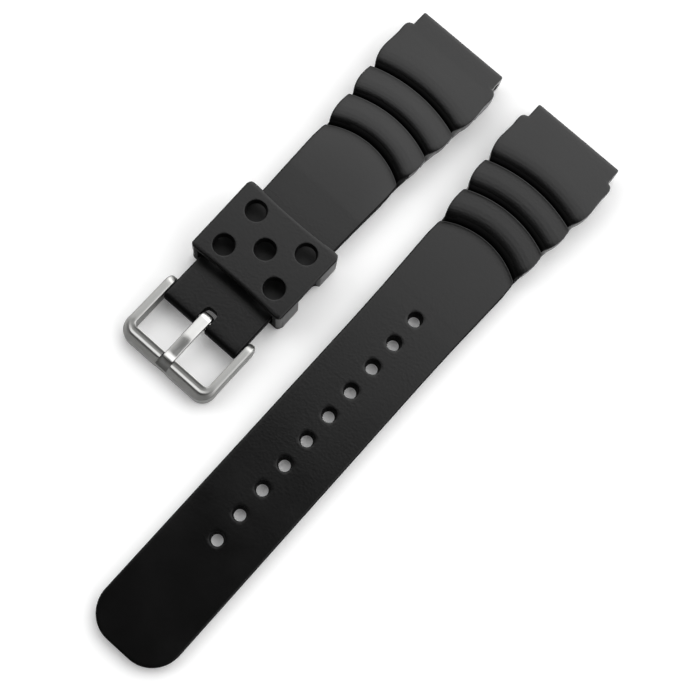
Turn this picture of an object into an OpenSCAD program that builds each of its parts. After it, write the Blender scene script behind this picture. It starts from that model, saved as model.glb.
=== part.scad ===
// A resin watch strap laid out in its two halves, with a sliding keeper and a tang buckle.
// Millimetres, +Z up, resting on z = 0. Each half is drawn with its lug end at y = 0 and runs toward -y.

/* [Lug end] */
// Width of the tab that fits between the watch's lugs
lug_w = 22; // [18:0.5:24]
// Length of the tab, from the lug end to the shoulder
tab_len = 4; // [3.6:0.1:5]
// How far each shoulder stands out past the tab
shoulder_out = 1.4; // [0.8:0.1:2]
// Thickness of the lug block
block_t = 5; // [4.6:0.1:6]
// Rounding of the tab's upper and lower edge
tab_round = 1.5; // [0.8:0.1:2]
// Bore for the watch's own spring bar
lug_bore_d = 2; // [1.6:0.1:2.4]
// Distance from the lug end to the bore's axis
lug_bore_s = 2; // [1.8:0.1:2.6]

/* [Waves] */
// Grooves across the top of each half
wave_n = 3; // [2:1:4]
// Distance from the lug end to the first groove's far edge, on the centreline
wave_first = 15.3; // [14:0.1:17]
// Distance from one groove to the next
wave_pitch = 7.55; // [6.6:0.05:8]
// Distance from the lug end to the upright axis that all the grooves are turned about
wave_axis = 48; // [46:0.5:54]
// Length over which a ridge falls into its groove
wave_fall = 3.35; // [3:0.05:4]
// Depth of the grooves
groove_d = 2.3; // [1.6:0.1:2.6]
// Width of the floor of a groove
groove_w = 0.4; // [0.3:0.1:1]
// How much lower each ridge is than the one before it
ridge_drop = 0.4; // [0.2:0.05:0.5]
// Depth of the grooves in the underside
under_d = 2; // [1.2:0.1:2.2]
// How far the underside's grooves lie past the upper edges
under_shift = 1.8; // [1.2:0.1:2.4]
// Radius of the scallops in the sides
scallop_r = 9; // [8.5:0.5:12]
// How far past its groove each scallop is widest
scallop_lead = 2; // [1:0.1:3]
// How far the lower layer stands back from the scallops
layer_back = 0.45; // [0.2:0.05:0.8]

/* [Flat run] */
// Length of the long half
long_len = 141.6; // [134:0.2:150]
// Length of the short half
short_len = 83.5; // [80:0.5:92]
// Width where the waves end
wave_end_w = 20.5; // [19.6:0.1:21]
// Width of the flat run
strap_w = 19.5; // [18:0.1:19.6]
// Distance from the lug end to where the flat run has its own width
taper_s = 53; // [50:0.5:58]
// Thickness of the flat run
strap_t = 3; // [2.6:0.1:3.4]
// Thickness at the tail's tip
tail_t = 2.65; // [2.2:0.05:2.9]
// Corner radius of the tail's tip
tip_r = 6.95; // [5:0.05:8.5]
// Number of adjustment holes
hole_n = 10; // [6:1:11]
// Distance from the lug end to the first adjustment hole
hole_first = 53.2; // [50:0.1:56]
// Distance between adjustment holes
hole_pitch = 6.67; // [5.5:0.01:7]
// Upper width of an adjustment hole
hole_top_d = 3.25; // [2.8:0.05:3.8]
// Lower width of an adjustment hole
hole_low_d = 2.45; // [2.4:0.05:2.7]

/* [Keeper] */
// Distance from the short half's end to the keeper's middle
keeper_back = 20; // [17:0.1:22]
// Length of the keeper along the strap
keeper_len = 18.3; // [14:0.1:20]
// Thickness of the keeper's side walls
keeper_wall = 2; // [1.6:0.1:2.4]
// Thickness of the keeper's floor, under the strap
keeper_floor = 1.2; // [0.8:0.1:1.6]
// Thickness of the keeper's top plate
keeper_top = 1.6; // [1.2:0.1:2.2]
// Gap between the strap and each side wall
keeper_side_gap = 0.4; // [0.2:0.05:0.8]
// Gap between the strap and the keeper's floor
keeper_floor_gap = 0.1; // [0.05:0.05:0.3]
// Free height over the tail when it lies in the keeper
keeper_pass_gap = 0.25; // [0.15:0.05:0.6]
// Rounding of the keeper's long edges
keeper_round = 1.5; // [1:0.1:1.5]
// Length of each leg of a side wall
leg_len = 5.9; // [4:0.1:6.4]
// How far the top plate's ends are hollowed
plate_hollow = 0.5; // [0.2:0.1:1]
// Upper width of the holes in the top plate
vent_top_d = 4.7; // [4:0.1:5]
// Lower width of the holes in the top plate
vent_low_d = 4.2; // [3.4:0.1:4.2]
// Distance across the strap between the outer holes
vent_x = 13.6; // [12.4:0.1:14.6]
// Distance along the strap between the outer holes
vent_y = 9.7; // [8.4:0.1:11]

/* [Buckle] */
// Gap between the strap and each arm
arm_gap = 0.15; // [0.1:0.05:0.3]
// Width of each arm
arm_w = 1.8; // [1.6:0.05:2.4]
// How far the arms reach back past the pin's axis
arm_back = 3; // [2.6:0.1:3.4]
// Height of the frame above the pin's axis
frame_over = 1.45; // [1.2:0.05:2]
// Free length between the strap's end and the bar
window_len = 8.4; // [7:0.1:10]
// Width of the bar's upper face
bar_w = 1.6; // [1.2:0.1:2.4]
// How far the bar's front slopes outward
bar_slope = 1.45; // [0.6:0.05:2]
// Width and drop of the bevel along the bar's outer upper edge
bar_bevel = 0.3; // [0.2:0.05:0.5]
// Width of the bevel along the bar's inner upper edge
bar_lip_w = 1; // [0.4:0.05:1.2]
// Drop of the bevel along the bar's inner upper edge
bar_lip_d = 0.45; // [0.2:0.05:0.6]
// Radius of the frame's outer corners, seen from above
frame_round = 3; // [1.5:0.1:3.4]
// Radius of the window's corners, seen from above
window_round = 1; // [0.5:0.1:2]
// Depth of the notch that the tongue lies in
notch_d = 0.95; // [0.5:0.05:1.1]
// Gap on each side of the tongue in its notch
notch_gap = 0.15; // [0.1:0.05:0.4]

/* [Tongue] */
// Width of the tongue
tongue_w = 2.4; // [2:0.1:2.8]
// Thickness of the tongue
tongue_t = 0.95; // [0.7:0.05:1.2]
// Length of the tongue's level part, from the pin's axis
tongue_flat = 4.8; // [3:0.1:5.6]
// How far the tongue's tip reaches over the bar
tongue_over = 0.75; // [0.5:0.05:1]
// Corner radius of the tongue's tip, seen from above
tongue_round = 0.9; // [0.3:0.05:0.95]
// Gap between the tongue's tip and the notch
tongue_rest = 0.05; // [0.03:0.01:0.2]
// Gap between the tongue and each side of the strap's slot
slot_gap = 0.375; // [0.2:0.025:0.6]
// Gap between the tongue's loop and the slot's end
slot_clear = 1.2; // [0.8:0.1:2]

/* [Spring bar] */
// Outer diameter of the tube
tube_d = 1.8; // [1.6:0.05:2]
// Wall of the tube
tube_wall = 0.225; // [0.2:0.025:0.25]
// Running gap around the tube
run_gap = 0.05; // [0.03:0.01:0.09]
// Resin left around the tube's bore
barrel_wall = 0.85; // [0.7:0.05:1]
// How far each end of the tube stands back from the strap's edge
tube_inset = 0.15; // [0.1:0.05:0.4]
// Length of the rolled-in rim at each end of the tube
rim_len = 0.4; // [0.3:0.05:0.6]
// Diameter of the tips that enter the arms
tip_d = 0.9; // [0.7:0.05:0.9]
// Gap around a tip in its hole, and around a head in the tube
tip_gap = 0.05; // [0.03:0.01:0.05]
// How far each tip enters its arm
tip_reach = 1.1; // [0.8:0.1:1.2]
// Depth left in the arm's hole past the tip
tip_spare = 0.2; // [0.1:0.05:0.3]
// Length of the head that keeps each tip in the tube
head_len = 1.45; // [1:0.05:1.8]
// Wire diameter of the spring
wire_d = 0.18; // [0.14:0.01:0.2]
// Number of turns of the spring
spring_turns = 14; // [8:1:18]

/* [Layout] */
// Free width between the two halves
halves_gap = 6.6; // [4:0.1:12]
// How far the short half's lug end lies behind the long half's
lug_stagger = 0.7; // [0:0.1:3]

/* [Hidden] */
$fn = 96;
e = 0.01;
far = 30;

// Widths of the strap
shoulder_w = lug_w + 2 * shoulder_out;
scallop_out = 0.1;
function lobe_half(i) = shoulder_w / 2 + scallop_out - i * (shoulder_w + 2 * scallop_out - wave_end_w) / 2 / wave_n;

// Keeper, from the strap that it holds twice over
lift = keeper_floor + keeper_floor_gap;
keeper_in_w = strap_w + 2 * keeper_side_gap;
keeper_w = keeper_in_w + 2 * keeper_wall;
keeper_in_h = keeper_floor_gap + strap_t + tail_t + keeper_pass_gap;
keeper_h = keeper_floor + keeper_in_h + keeper_top;
keeper_s = short_len - keeper_back;

// Spring bar and the bore that it lies in
pin_r = tube_d / 2 + run_gap;
barrel_r = pin_r + barrel_wall;
pin_s = short_len - barrel_r;
pin_z = lift + strap_t / 2;
tube_bore = tube_d - 2 * tube_wall;
tube_half = strap_w / 2 - tube_inset;
head_out = tube_half - rim_len - tip_gap;
head_in = head_out - head_len;

// Buckle
arm_in = strap_w / 2 + arm_gap;
frame_w = 2 * (arm_in + arm_w);
frame_h = pin_z + frame_over;
bar_in = short_len + window_len;
rim_s = bar_in + bar_w;
front_s = rim_s + bar_slope;
notch_z = frame_h - notch_d;
loop_r = pin_r + tongue_t;
slot_w = tongue_w + 2 * slot_gap;
slot_s = pin_s - loop_r - slot_clear;

// Where the halves lie
widest = max(shoulder_w + 2 * scallop_out, frame_w, keeper_w);
half_x = (widest + halves_gap) / 2;
long_y = long_len / 2;
short_y = long_y - lug_stagger;

// Radius of the edge past groove i, and of the underside's groove i
function edge_r(i) = wave_axis - wave_first - i * wave_pitch;
function under_r(i) = edge_r(i) - under_shift;
flat_s = wave_axis - edge_r(wave_n - 1);
// Height of ridge i's top over its own underside, and of the floor of the groove past it
function ridge_z(i) = i < wave_n ? block_t - i * ridge_drop : strap_t;
function floor_z(i) = ridge_z(i) - groove_d;
// How far unit i is lifted by what lies under the strap
function lift_z(up, i) = up * (1 - pow(1 - i / wave_n, 1.5));

// Arc that falls by d over a length f and starts level
function fall_r(f, d) = (f * f + d * d) / (2 * d);
function fall_pts(f, d, n = 8) = [for (k = [0:n])
    let (a = k / n * asin(f / fall_r(f, d)))
    [fall_r(f, d) * sin(a), fall_r(f, d) * (1 - cos(a))]];

// A shape drawn as (distance from the lug end, height), made w wide about the centreline
module across(w) {
    rotate([90, 0, -90]) linear_extrude(w, center = true) children();
}

// A shape drawn as (radius, height), turned about the waves' axis
module about_axis() {
    translate([0, -wave_axis, 0]) rotate_extrude() children();
}

// Ridge i from its crisp edge to the groove past it
module ridge_profile(i) {
    outer = i == 0 ? wave_axis + 5 : edge_r(i - 1);
    inner = edge_r(i) + groove_w;
    top = ridge_z(i);
    arc = fall_pts(wave_fall, groove_d);
    polygon(concat([[outer, 1], [outer, top]],
        [for (p = arc) [inner + wave_fall - p[0], top - p[1]]],
        [[inner, 1]]));
}

// The space of the underside's groove that comes before ridge i
module under_profile(i) {
    wall = under_r(i - 1);
    start = wall - groove_w - wave_fall;
    arc = fall_pts(wave_fall, under_d);
    polygon(concat([[start, -1]], [for (p = arc) [start + p[0], p[1]]], [[wall, under_d], [wall, -1]]));
}

// Plan of ridge i with its scallops
module ridge_plan(i) {
    w = lobe_half(i);
    s = i == 0 ? wave_first - wave_fall - groove_w
        : wave_axis - sqrt(pow(edge_r(i - 1), 2) - w * w) + scallop_lead;
    for (m = [-1, 1]) translate([m * (w - scallop_r), -s]) circle(scallop_r);
    if (i == 0) {
        c = shoulder_out;
        b = tab_len + c;
        h = shoulder_w / 2;
        translate([-h + c, -b - e]) square([shoulder_w - 2 * c, c + e]);
        for (m = [-1, 1]) translate([m * (h - c), -b]) circle(c);
        polygon([[-h, -b], [h, -b], [h - layer_back, -s], [layer_back - h, -s]]);
    }
}

// Plan of the lower layer
module lower_plan() {
    s0 = tab_len + shoulder_out;
    s1 = wave_first + wave_n * wave_pitch;
    h0 = shoulder_w / 2 - layer_back;
    h1 = wave_end_w / 2 - layer_back / 2;
    polygon([[-h0, -s0], [h0, -s0], [h1, -s1], [-h1, -s1]]);
}

// One wave: a ridge above and the swell below it, cut by the underside's groove
module wave(i, up) {
    translate([0, 0, lift_z(up, i)]) difference() {
        union() {
            intersection() {
                linear_extrude(block_t + 5) ridge_plan(i);
                about_axis() ridge_profile(i);
            }
            intersection() {
                linear_extrude(floor_z(i)) lower_plan();
                about_axis() polygon([[under_r(i), -1], [under_r(i), block_t],
                    [i == 0 ? wave_axis : under_r(i - 1), block_t], [i == 0 ? wave_axis : under_r(i - 1), -1]]);
            }
        }
        about_axis() under_profile(i);
    }
}

// The tab, the lug block and the waves, which both halves share
module lug_end(up) {
    difference() {
        union() {
            across(lug_w) {
                translate([tab_round, 0]) square([tab_len + 2 - tab_round, block_t]);
                translate([0, tab_round]) square([tab_len + 2, block_t - 2 * tab_round]);
                for (z = [tab_round, block_t - tab_round]) translate([tab_round, z]) circle(tab_round);
            }
            for (i = [0:wave_n - 1]) wave(i, up);
        }
        translate([0, -lug_bore_s, block_t / 2]) rotate([0, 90, 0]) cylinder(h = lug_w + 6, d = lug_bore_d, center = true);
    }
}

// Where the flat run begins: inside the last edge, and everything past the axis
module flat_limit() {
    translate([0, -wave_axis]) circle(edge_r(wave_n - 1));
    translate([-far, -wave_axis - 200]) square([2 * far, 200]);
}

// Plan of the flat run down to a given length
module flat_plan(len) {
    a = wave_end_w / 2;
    b = strap_w / 2;
    polygon([[-a, 5 - flat_s], [a, 5 - flat_s], [a, -flat_s - 2], [b, -taper_s], [b, -len],
        [-b, -len], [-b, -taper_s], [-a, -flat_s - 2]]);
}

module long_strap() {
    color("dimgray") translate([half_x, long_y, 0]) {
        difference() {
            union() {
                lug_end(0);
                intersection() {
                    linear_extrude(far) intersection() {
                        flat_limit();
                        union() {
                            flat_plan(long_len - tip_r);
                            for (m = [-1, 1]) translate([m * (strap_w / 2 - tip_r), tip_r - long_len]) circle(tip_r);
                            translate([tip_r - strap_w / 2, -long_len]) square([strap_w - 2 * tip_r, tip_r + 1]);
                        }
                    }
                    across(2 * far) polygon([[flat_s - 5, 0], [flat_s - 5, strap_t], [hole_first, strap_t],
                        [long_len + 1, tail_t], [long_len + 1, 0]]);
                }
            }
            for (k = [0:hole_n - 1]) translate([0, -hole_first - k * hole_pitch, 0]) {
                cylinder(h = strap_t, d1 = hole_low_d, d2 = hole_top_d);
                translate([0, 0, -1]) cylinder(h = 1 + e, d = hole_low_d);
                translate([0, 0, strap_t - e]) cylinder(h = 1, d = hole_top_d);
            }
        }
    }
}

module short_strap() {
    color("dimgray") translate([-half_x, short_y, 0]) {
        difference() {
            union() {
                lug_end(lift);
                intersection() {
                    linear_extrude(far) intersection() {
                        flat_limit();
                        flat_plan(short_len + 1);
                    }
                    translate([0, 0, lift]) across(2 * far) {
                        translate([flat_s - 5, 0]) square([pin_s - flat_s + 5, strap_t]);
                        translate([pin_s, strap_t / 2]) circle(barrel_r);
                    }
                }
            }
            pin_bore(pin_r);
            translate([-slot_w / 2, -short_len - 1, 0]) cube([slot_w, short_len + 1 - slot_s - slot_w / 2, far]);
            translate([0, -slot_s - slot_w / 2, 0]) cylinder(h = far, d = slot_w);
        }
    }
}

// A round space of radius r along the pin's axis
module pin_bore(r) {
    translate([0, -pin_s, pin_z]) rotate([0, 90, 0]) cylinder(h = 2 * far, r = r, center = true);
}

// A round bar along the pin's axis, from x0 to x1
module on_pin(x0, x1, d) {
    translate([x0, -pin_s, pin_z]) rotate([0, 90, 0]) cylinder(h = x1 - x0, d = d);
}

module keeper() {
    color("slategray") translate([-half_x, short_y - keeper_s, 0]) difference() {
        translate([0, keeper_len / 2, 0]) rotate([90, 0, 0]) linear_extrude(keeper_len) difference() {
            union() {
                translate([-keeper_w / 2 + keeper_round, 0]) square([keeper_w - 2 * keeper_round, keeper_h]);
                translate([-keeper_w / 2, keeper_round]) square([keeper_w, keeper_h - 2 * keeper_round]);
                for (m = [-1, 1]) for (z = [keeper_round, keeper_h - keeper_round])
                    translate([m * (keeper_w / 2 - keeper_round), z]) circle(keeper_round);
            }
            translate([-keeper_in_w / 2, keeper_floor]) square([keeper_in_w, keeper_in_h]);
        }
        // The gap between the two legs of each side wall
        for (m = [-1, 1]) translate([m * (keeper_in_w / 2 + 5) - 5, leg_len - keeper_len / 2, -1])
            cube([10, keeper_len - 2 * leg_len, 1 + keeper_floor + keeper_in_h]);
        // The hollowed ends of the top plate, as wide as the strap
        hollow_r = (pow(strap_w / 2, 2) + plate_hollow * plate_hollow) / (2 * plate_hollow);
        for (m = [-1, 1]) translate([0, m * (keeper_len / 2 - plate_hollow + hollow_r), keeper_floor + keeper_in_h / 2])
            cylinder(h = keeper_h, r = hollow_r, $fn = 720);
        // Five holes in the top plate
        for (p = [[0, 0], [1, 1], [1, -1], [-1, 1], [-1, -1]])
            translate([p[0] * vent_x / 2, p[1] * vent_y / 2, keeper_h - keeper_top]) {
                cylinder(h = keeper_top, d1 = vent_low_d, d2 = vent_top_d);
                translate([0, 0, -1]) cylinder(h = 1 + e, d = vent_low_d);
                translate([0, 0, keeper_top - e]) cylinder(h = 1, d = vent_top_d);
            }
    }
}

module buckle_frame() {
    color("silver") translate([-half_x, short_y, 0]) difference() {
        intersection() {
            across(2 * far) {
                r = frame_h / 2;
                translate([pin_s - arm_back + r, r]) circle(r);
                polygon([[pin_s - arm_back + r, 0], [front_s, 0], [front_s, 0.3], [rim_s, frame_h - bar_bevel],
                    [rim_s - bar_bevel, frame_h], [pin_s - arm_back + r, frame_h]]);
            }
            linear_extrude(far) {
                translate([-frame_w / 2, frame_round - front_s]) square([frame_w, far]);
                translate([frame_round - frame_w / 2, -front_s]) square([frame_w - 2 * frame_round, far]);
                for (m = [-1, 1]) translate([m * (frame_w / 2 - frame_round), frame_round - front_s]) circle(frame_round);
            }
        }
        // The window between the arms
        translate([0, 0, -1]) linear_extrude(far) {
            translate([-arm_in, window_round - bar_in]) square([2 * arm_in, far]);
            translate([window_round - arm_in, -bar_in]) square([2 * (arm_in - window_round), far]);
            for (m = [-1, 1]) translate([m * (arm_in - window_round), window_round - bar_in]) circle(window_round);
        }
        // The bevel along the bar's inner edge
        lip = bar_lip_d / bar_lip_w;
        across(2 * (arm_in - window_round)) polygon([[bar_in - 1, frame_h - bar_lip_d - lip],
            [bar_in + bar_lip_w + 1, frame_h + lip], [bar_in - 1, frame_h + lip]]);
        // The notch for the tongue
        translate([-tongue_w / 2 - notch_gap, -front_s - 1, notch_z]) cube([tongue_w + 2 * notch_gap, far, far]);
        // Blind holes for the spring bar's tips
        for (m = [-1, 1]) on_pin(m < 0 ? -arm_in - tip_reach - tip_spare : arm_in - 1,
            m < 0 ? 1 - arm_in : arm_in + tip_reach + tip_spare, tip_d + 2 * tip_gap);
    }
}

module buckle_tongue() {
    top = pin_z + loop_r - 2 * e;
    low = notch_z + tongue_rest;
    end_s = bar_in + tongue_over;
    color("gainsboro") translate([-half_x, short_y, 0]) difference() {
        intersection() {
            across(tongue_w) {
                translate([pin_s, pin_z]) circle(loop_r);
                polygon([[pin_s, top - tongue_t / 2], [pin_s + loop_r, top - tongue_t],
                    [pin_s + tongue_flat, top - tongue_t], [bar_in - 0.4, low], [end_s, low], [end_s, low + 0.25],
                    [end_s - 0.9, low + tongue_t], [bar_in - 0.4, low + tongue_t], [pin_s + tongue_flat, top],
                    [pin_s, top]]);
            }
            linear_extrude(far) {
                translate([-tongue_w / 2, tongue_round - end_s]) square([tongue_w, 2 * far]);
                translate([tongue_round - tongue_w / 2, -end_s]) square([tongue_w - 2 * tongue_round, far]);
                for (m = [-1, 1]) translate([m * (tongue_w / 2 - tongue_round), tongue_round - end_s])
                    circle(tongue_round);
            }
        }
        pin_bore(pin_r);
    }
}

module spring_bar_tube() {
    color("lightsteelblue") translate([-half_x, short_y, 0]) difference() {
        on_pin(-tube_half, tube_half, tube_d);
        on_pin(rim_len - tube_half, tube_half - rim_len, tube_bore);
        on_pin(-tube_half - 1, tube_half + 1, tip_d + 2 * tip_gap);
    }
}

// One sprung tip, drawn at the +x end of the bar
module plunger() {
    on_pin(head_out - e, arm_in + tip_reach, tip_d);
    on_pin(head_in, head_out, tube_bore - 2 * tip_gap);
}

module spring_bar_plunger_left() {
    color("gold") translate([-half_x, short_y, 0]) mirror([1, 0, 0]) plunger();
}

module spring_bar_plunger_right() {
    color("gold") translate([-half_x, short_y, 0]) plunger();
}

// The coil spring between the two heads, swept as one tube with 8 rings a turn and 6 sides
module spring_bar_spring() {
    half = head_in - tip_gap - wire_d / 2;
    coil_r = tube_bore / 2 - tip_gap * 2 - wire_d / 2;
    n = spring_turns * 8;
    pitch = 2 * half / spring_turns;
    lead = pitch / (2 * PI * coil_r);
    function centre(k) = [-half + 2 * half * k / n, coil_r * cos(360 * k / 8), coil_r * sin(360 * k / 8)];
    function out(k) = [0, cos(360 * k / 8), sin(360 * k / 8)];
    function side(k) = [1, lead * sin(360 * k / 8), -lead * cos(360 * k / 8)] / sqrt(1 + lead * lead);
    points = [for (k = [0:n]) for (j = [0:5]) centre(k) + wire_d / 2 * (cos(60 * j) * out(k) + sin(60 * j) * side(k))];
    walls = [for (k = [0:n - 1]) for (j = [0:5]) let (a = 6 * k + j, b = 6 * k + (j + 1) % 6)
        each [[a, b, b + 6], [a, b + 6, a + 6]]];
    first = [for (j = [1:4]) [0, j + 1, j]];
    last = [for (j = [1:4]) [6 * n, 6 * n + j, 6 * n + j + 1]];
    turn = [for (k = [0:7]) centre(k)];
    next = [for (k = [8:15]) centre(k)];
    echo(least_gap_between_turns = min([for (p = turn) for (q = next) norm(p - q)]) - wire_d);
    color("orange") translate([-half_x, short_y - pin_s, pin_z]) polyhedron(points, concat(walls, first, last));
}

short_strap();
long_strap();
keeper();
buckle_frame();
buckle_tongue();
spring_bar_tube();
spring_bar_plunger_left();
spring_bar_plunger_right();
spring_bar_spring();
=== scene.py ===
# %% [markdown]
# # Dressing a resin watch strap
# The CAD model gives the strap's real sizes and its joints. It comes in as a fixed frame, in metres. This
# lesson lays finer surfaces over the moulded and the bent pieces, and gives every piece the finish that the
# real one has: black moulded resin, ground steel and polished steel.

# %% Load the fixed frame
import bmesh
import bpy
import numpy as np
from mathutils import Matrix, Vector


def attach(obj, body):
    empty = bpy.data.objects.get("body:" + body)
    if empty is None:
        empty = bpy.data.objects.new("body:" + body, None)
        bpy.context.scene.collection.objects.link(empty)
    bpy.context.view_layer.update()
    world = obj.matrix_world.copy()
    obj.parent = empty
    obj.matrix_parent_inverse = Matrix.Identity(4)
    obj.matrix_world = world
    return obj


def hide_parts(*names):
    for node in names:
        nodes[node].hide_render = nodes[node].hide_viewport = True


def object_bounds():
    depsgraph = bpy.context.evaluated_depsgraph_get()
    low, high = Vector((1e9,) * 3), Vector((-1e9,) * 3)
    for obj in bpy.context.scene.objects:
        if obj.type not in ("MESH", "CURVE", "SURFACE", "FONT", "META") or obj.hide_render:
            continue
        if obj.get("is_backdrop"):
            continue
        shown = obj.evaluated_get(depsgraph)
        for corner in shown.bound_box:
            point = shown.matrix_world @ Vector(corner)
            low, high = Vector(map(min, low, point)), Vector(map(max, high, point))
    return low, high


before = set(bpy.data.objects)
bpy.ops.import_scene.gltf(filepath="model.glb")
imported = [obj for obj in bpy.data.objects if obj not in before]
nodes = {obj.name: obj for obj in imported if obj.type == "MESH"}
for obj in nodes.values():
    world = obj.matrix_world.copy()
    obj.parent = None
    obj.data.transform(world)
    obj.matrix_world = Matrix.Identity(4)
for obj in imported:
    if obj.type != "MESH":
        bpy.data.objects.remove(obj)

cad_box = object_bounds()
print("CAD nodes:", ", ".join(sorted(nodes)))

# %% [markdown]
# ## Where things lie
# A strap is easiest to draw along itself: x across it, s from its lug end toward the other end, and z up.
# Both halves lie side by side with s running toward -Y, so one small function moves the points of a half to
# its place. All drawing is in millimetres, and the place is kept in the mesh.

# %% Places in millimetres
MM = 0.001
HALF_X = 15.8
LONG_TOP = 70.8
SHORT_TOP = 70.1


def lay(points, on_short):
    """Drawing points (x, s, z) become frame points: X = the half's middle + x and Y = its lug end - s."""
    side, top = (-HALF_X, SHORT_TOP) if on_short else (HALF_X, LONG_TOP)
    return np.stack([side + points[..., 0], top - points[..., 1], points[..., 2]], axis=-1)


def put(name, data):
    """Puts a mesh, a lamp or a camera into the scene as an object at the origin."""
    thing = bpy.data.objects.new(name, data)
    bpy.context.scene.collection.objects.link(thing)
    return thing


print("the halves' middles lie", 2 * HALF_X, "mm apart")

# %% [markdown]
# ## One way to make every mesh
# Each piece is one or more grids of points. Neighbouring rows and columns are joined by four-sided faces,
# and grids that meet share their border points, so merging the doubles closes the surface. A closed surface
# has exactly two faces at every edge and a positive volume when its faces point outward, so both are
# measured.

# %% Grids into pieces
MERGE = 0.002 * MM
SLIVER = 0.001 * MM


def grid_faces(rows, cols, wrap_rows=False, wrap_cols=False):
    """Four-sided faces between a grid's neighbours, numbered row by row; a wrapped side joins its start."""
    index = np.arange(rows * cols).reshape(rows, cols)
    below = np.roll(index, -1, axis=0)
    right = np.roll(index, -1, axis=1)
    both = np.roll(below, -1, axis=1)
    faces = np.stack([index, below, both, right], axis=-1)
    return faces[:rows if wrap_rows else rows - 1, :cols if wrap_cols else cols - 1]


def close_mesh(mesh):
    """Merges points closer than 2 micrometres, drops faces that this empties and turns all faces outward."""
    work = bmesh.new()
    work.from_mesh(mesh)
    bmesh.ops.remove_doubles(work, verts=work.verts, dist=MERGE)
    bmesh.ops.dissolve_degenerate(work, dist=SLIVER, edges=work.edges)
    bmesh.ops.recalc_face_normals(work, faces=work.faces)
    volume = work.calc_volume(signed=True)
    work.to_mesh(mesh)
    work.free()
    uses = np.zeros(len(mesh.loops), dtype=np.int32)
    mesh.loops.foreach_get("edge_index", uses)
    open_edges = int(np.sum(np.bincount(uses, minlength=len(mesh.edges)) != 2))
    print(f"{mesh.name}: {len(mesh.polygons)} faces, {volume / MM ** 3:.0f} mm3, open edges {open_edges}")


def finish_mesh(mesh, sharp):
    """Closes a mesh and shades it smooth, except over edges that bend by more than so many degrees."""
    close_mesh(mesh)
    mesh.shade_smooth()
    mesh.set_sharp_from_angle(angle=np.radians(sharp))


def make_piece(name, patches, on_short, sharp):
    """Joins patches of (points, faces) into one piece, without the points that no face uses."""
    start = np.cumsum([0] + [len(p.reshape(-1, 3)) for p, _ in patches])
    points = np.concatenate([p.reshape(-1, 3) for p, _ in patches])
    faces = np.concatenate([f.reshape(-1, 4) + n for (_, f), n in zip(patches, start)])
    used, faces = np.unique(faces, return_inverse=True)
    points, faces = points[used], faces.reshape(-1, 4)
    mesh = bpy.data.meshes.new(name)
    mesh.from_pydata((lay(points, on_short) * MM).tolist(), [], faces.tolist())
    piece = put(name, mesh)
    finish_mesh(mesh, sharp)
    return piece


# %% [markdown]
# ## The camera
# The photograph was taken from above, leaning a little over the buckle's end. The camera's place and turn
# were solved from points whose real places are known, such as the row of holes and the corners of the two
# tabs. Its place is in metres, and its three directions are unit vectors: to the picture's right, down, and
# into the picture.

# %% Camera
LENS = 77.1429
SENSOR = 36
EYE = (0.040097, -0.06105, 0.29969)
TO_RIGHT = (0.74964, 0.658346, 0.06798)
TO_DOWN = (0.654499, -0.722135, -0.223946)
INTO = (-0.098343, 0.212371, -0.972228)
camera_data = bpy.data.cameras.new("camera")
camera_data.lens = LENS
camera_data.sensor_width = SENSOR
camera_data.clip_start = 0.01
camera = put("camera", camera_data)
turn = Matrix((TO_RIGHT, -Vector(TO_DOWN), -Vector(INTO))).transposed()
camera.matrix_world = Matrix.Translation(EYE) @ turn.to_4x4()
bpy.context.scene.camera = camera
print("camera at", [round(1000 * v, 1) for v in EYE], "mm")

# %% [markdown]
# ## The waves of the lug end
# Both halves start with a tab between the watch's lugs, a thick block, and three waves. The tab's upper
# edge is a superellipse: almost square, with a soft corner. Each wave's top is level, then sinks slowly at
# first and ever faster toward a narrow groove. The next one starts with a steep wall and a crisp edge, and
# a low bead runs along it, because cooling resin sinks a little less beside an edge. The underside has the
# same waves the other way round, with plain arcs. As a side view, top and underside are two lines of
# points, which a reader can check on paper.

# %% Upper side of the waves
TAB_LEN = 4.0
TAB_ROUND = 1.5
TAB_POWER = 4.5
BLOCK_T = 5.0
FLAT_T = 3.0
EDGES = (15.3, 22.85, 30.4)
RIDGES = (BLOCK_T, 4.6, 4.2, FLAT_T)
CROWN_RUN = 5.5
CROWN_LAST = 0.03
CROWN_K = 0.33
GROOVE_D = 2.3
GROOVE_W = 0.4
GROOVE_LIP = 1.6
GROOVE_FOOT = 0.05
CRISP = 0.1
BEAD = 0.075
BEAD_RUN = 0.45
BEAD_AT = np.array([0.15, 0.35, 0.6, 0.95, 1.4])


def falling_crown(count=18):
    """A crown's distances d before the groove and its drop there, k * (ln(L / d) - 1 + d / L)."""
    before = np.geomspace(CROWN_RUN, CROWN_LAST, count)
    return before, CROWN_K * (np.log(CROWN_RUN / before) - 1 + before / CROWN_RUN)


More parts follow.
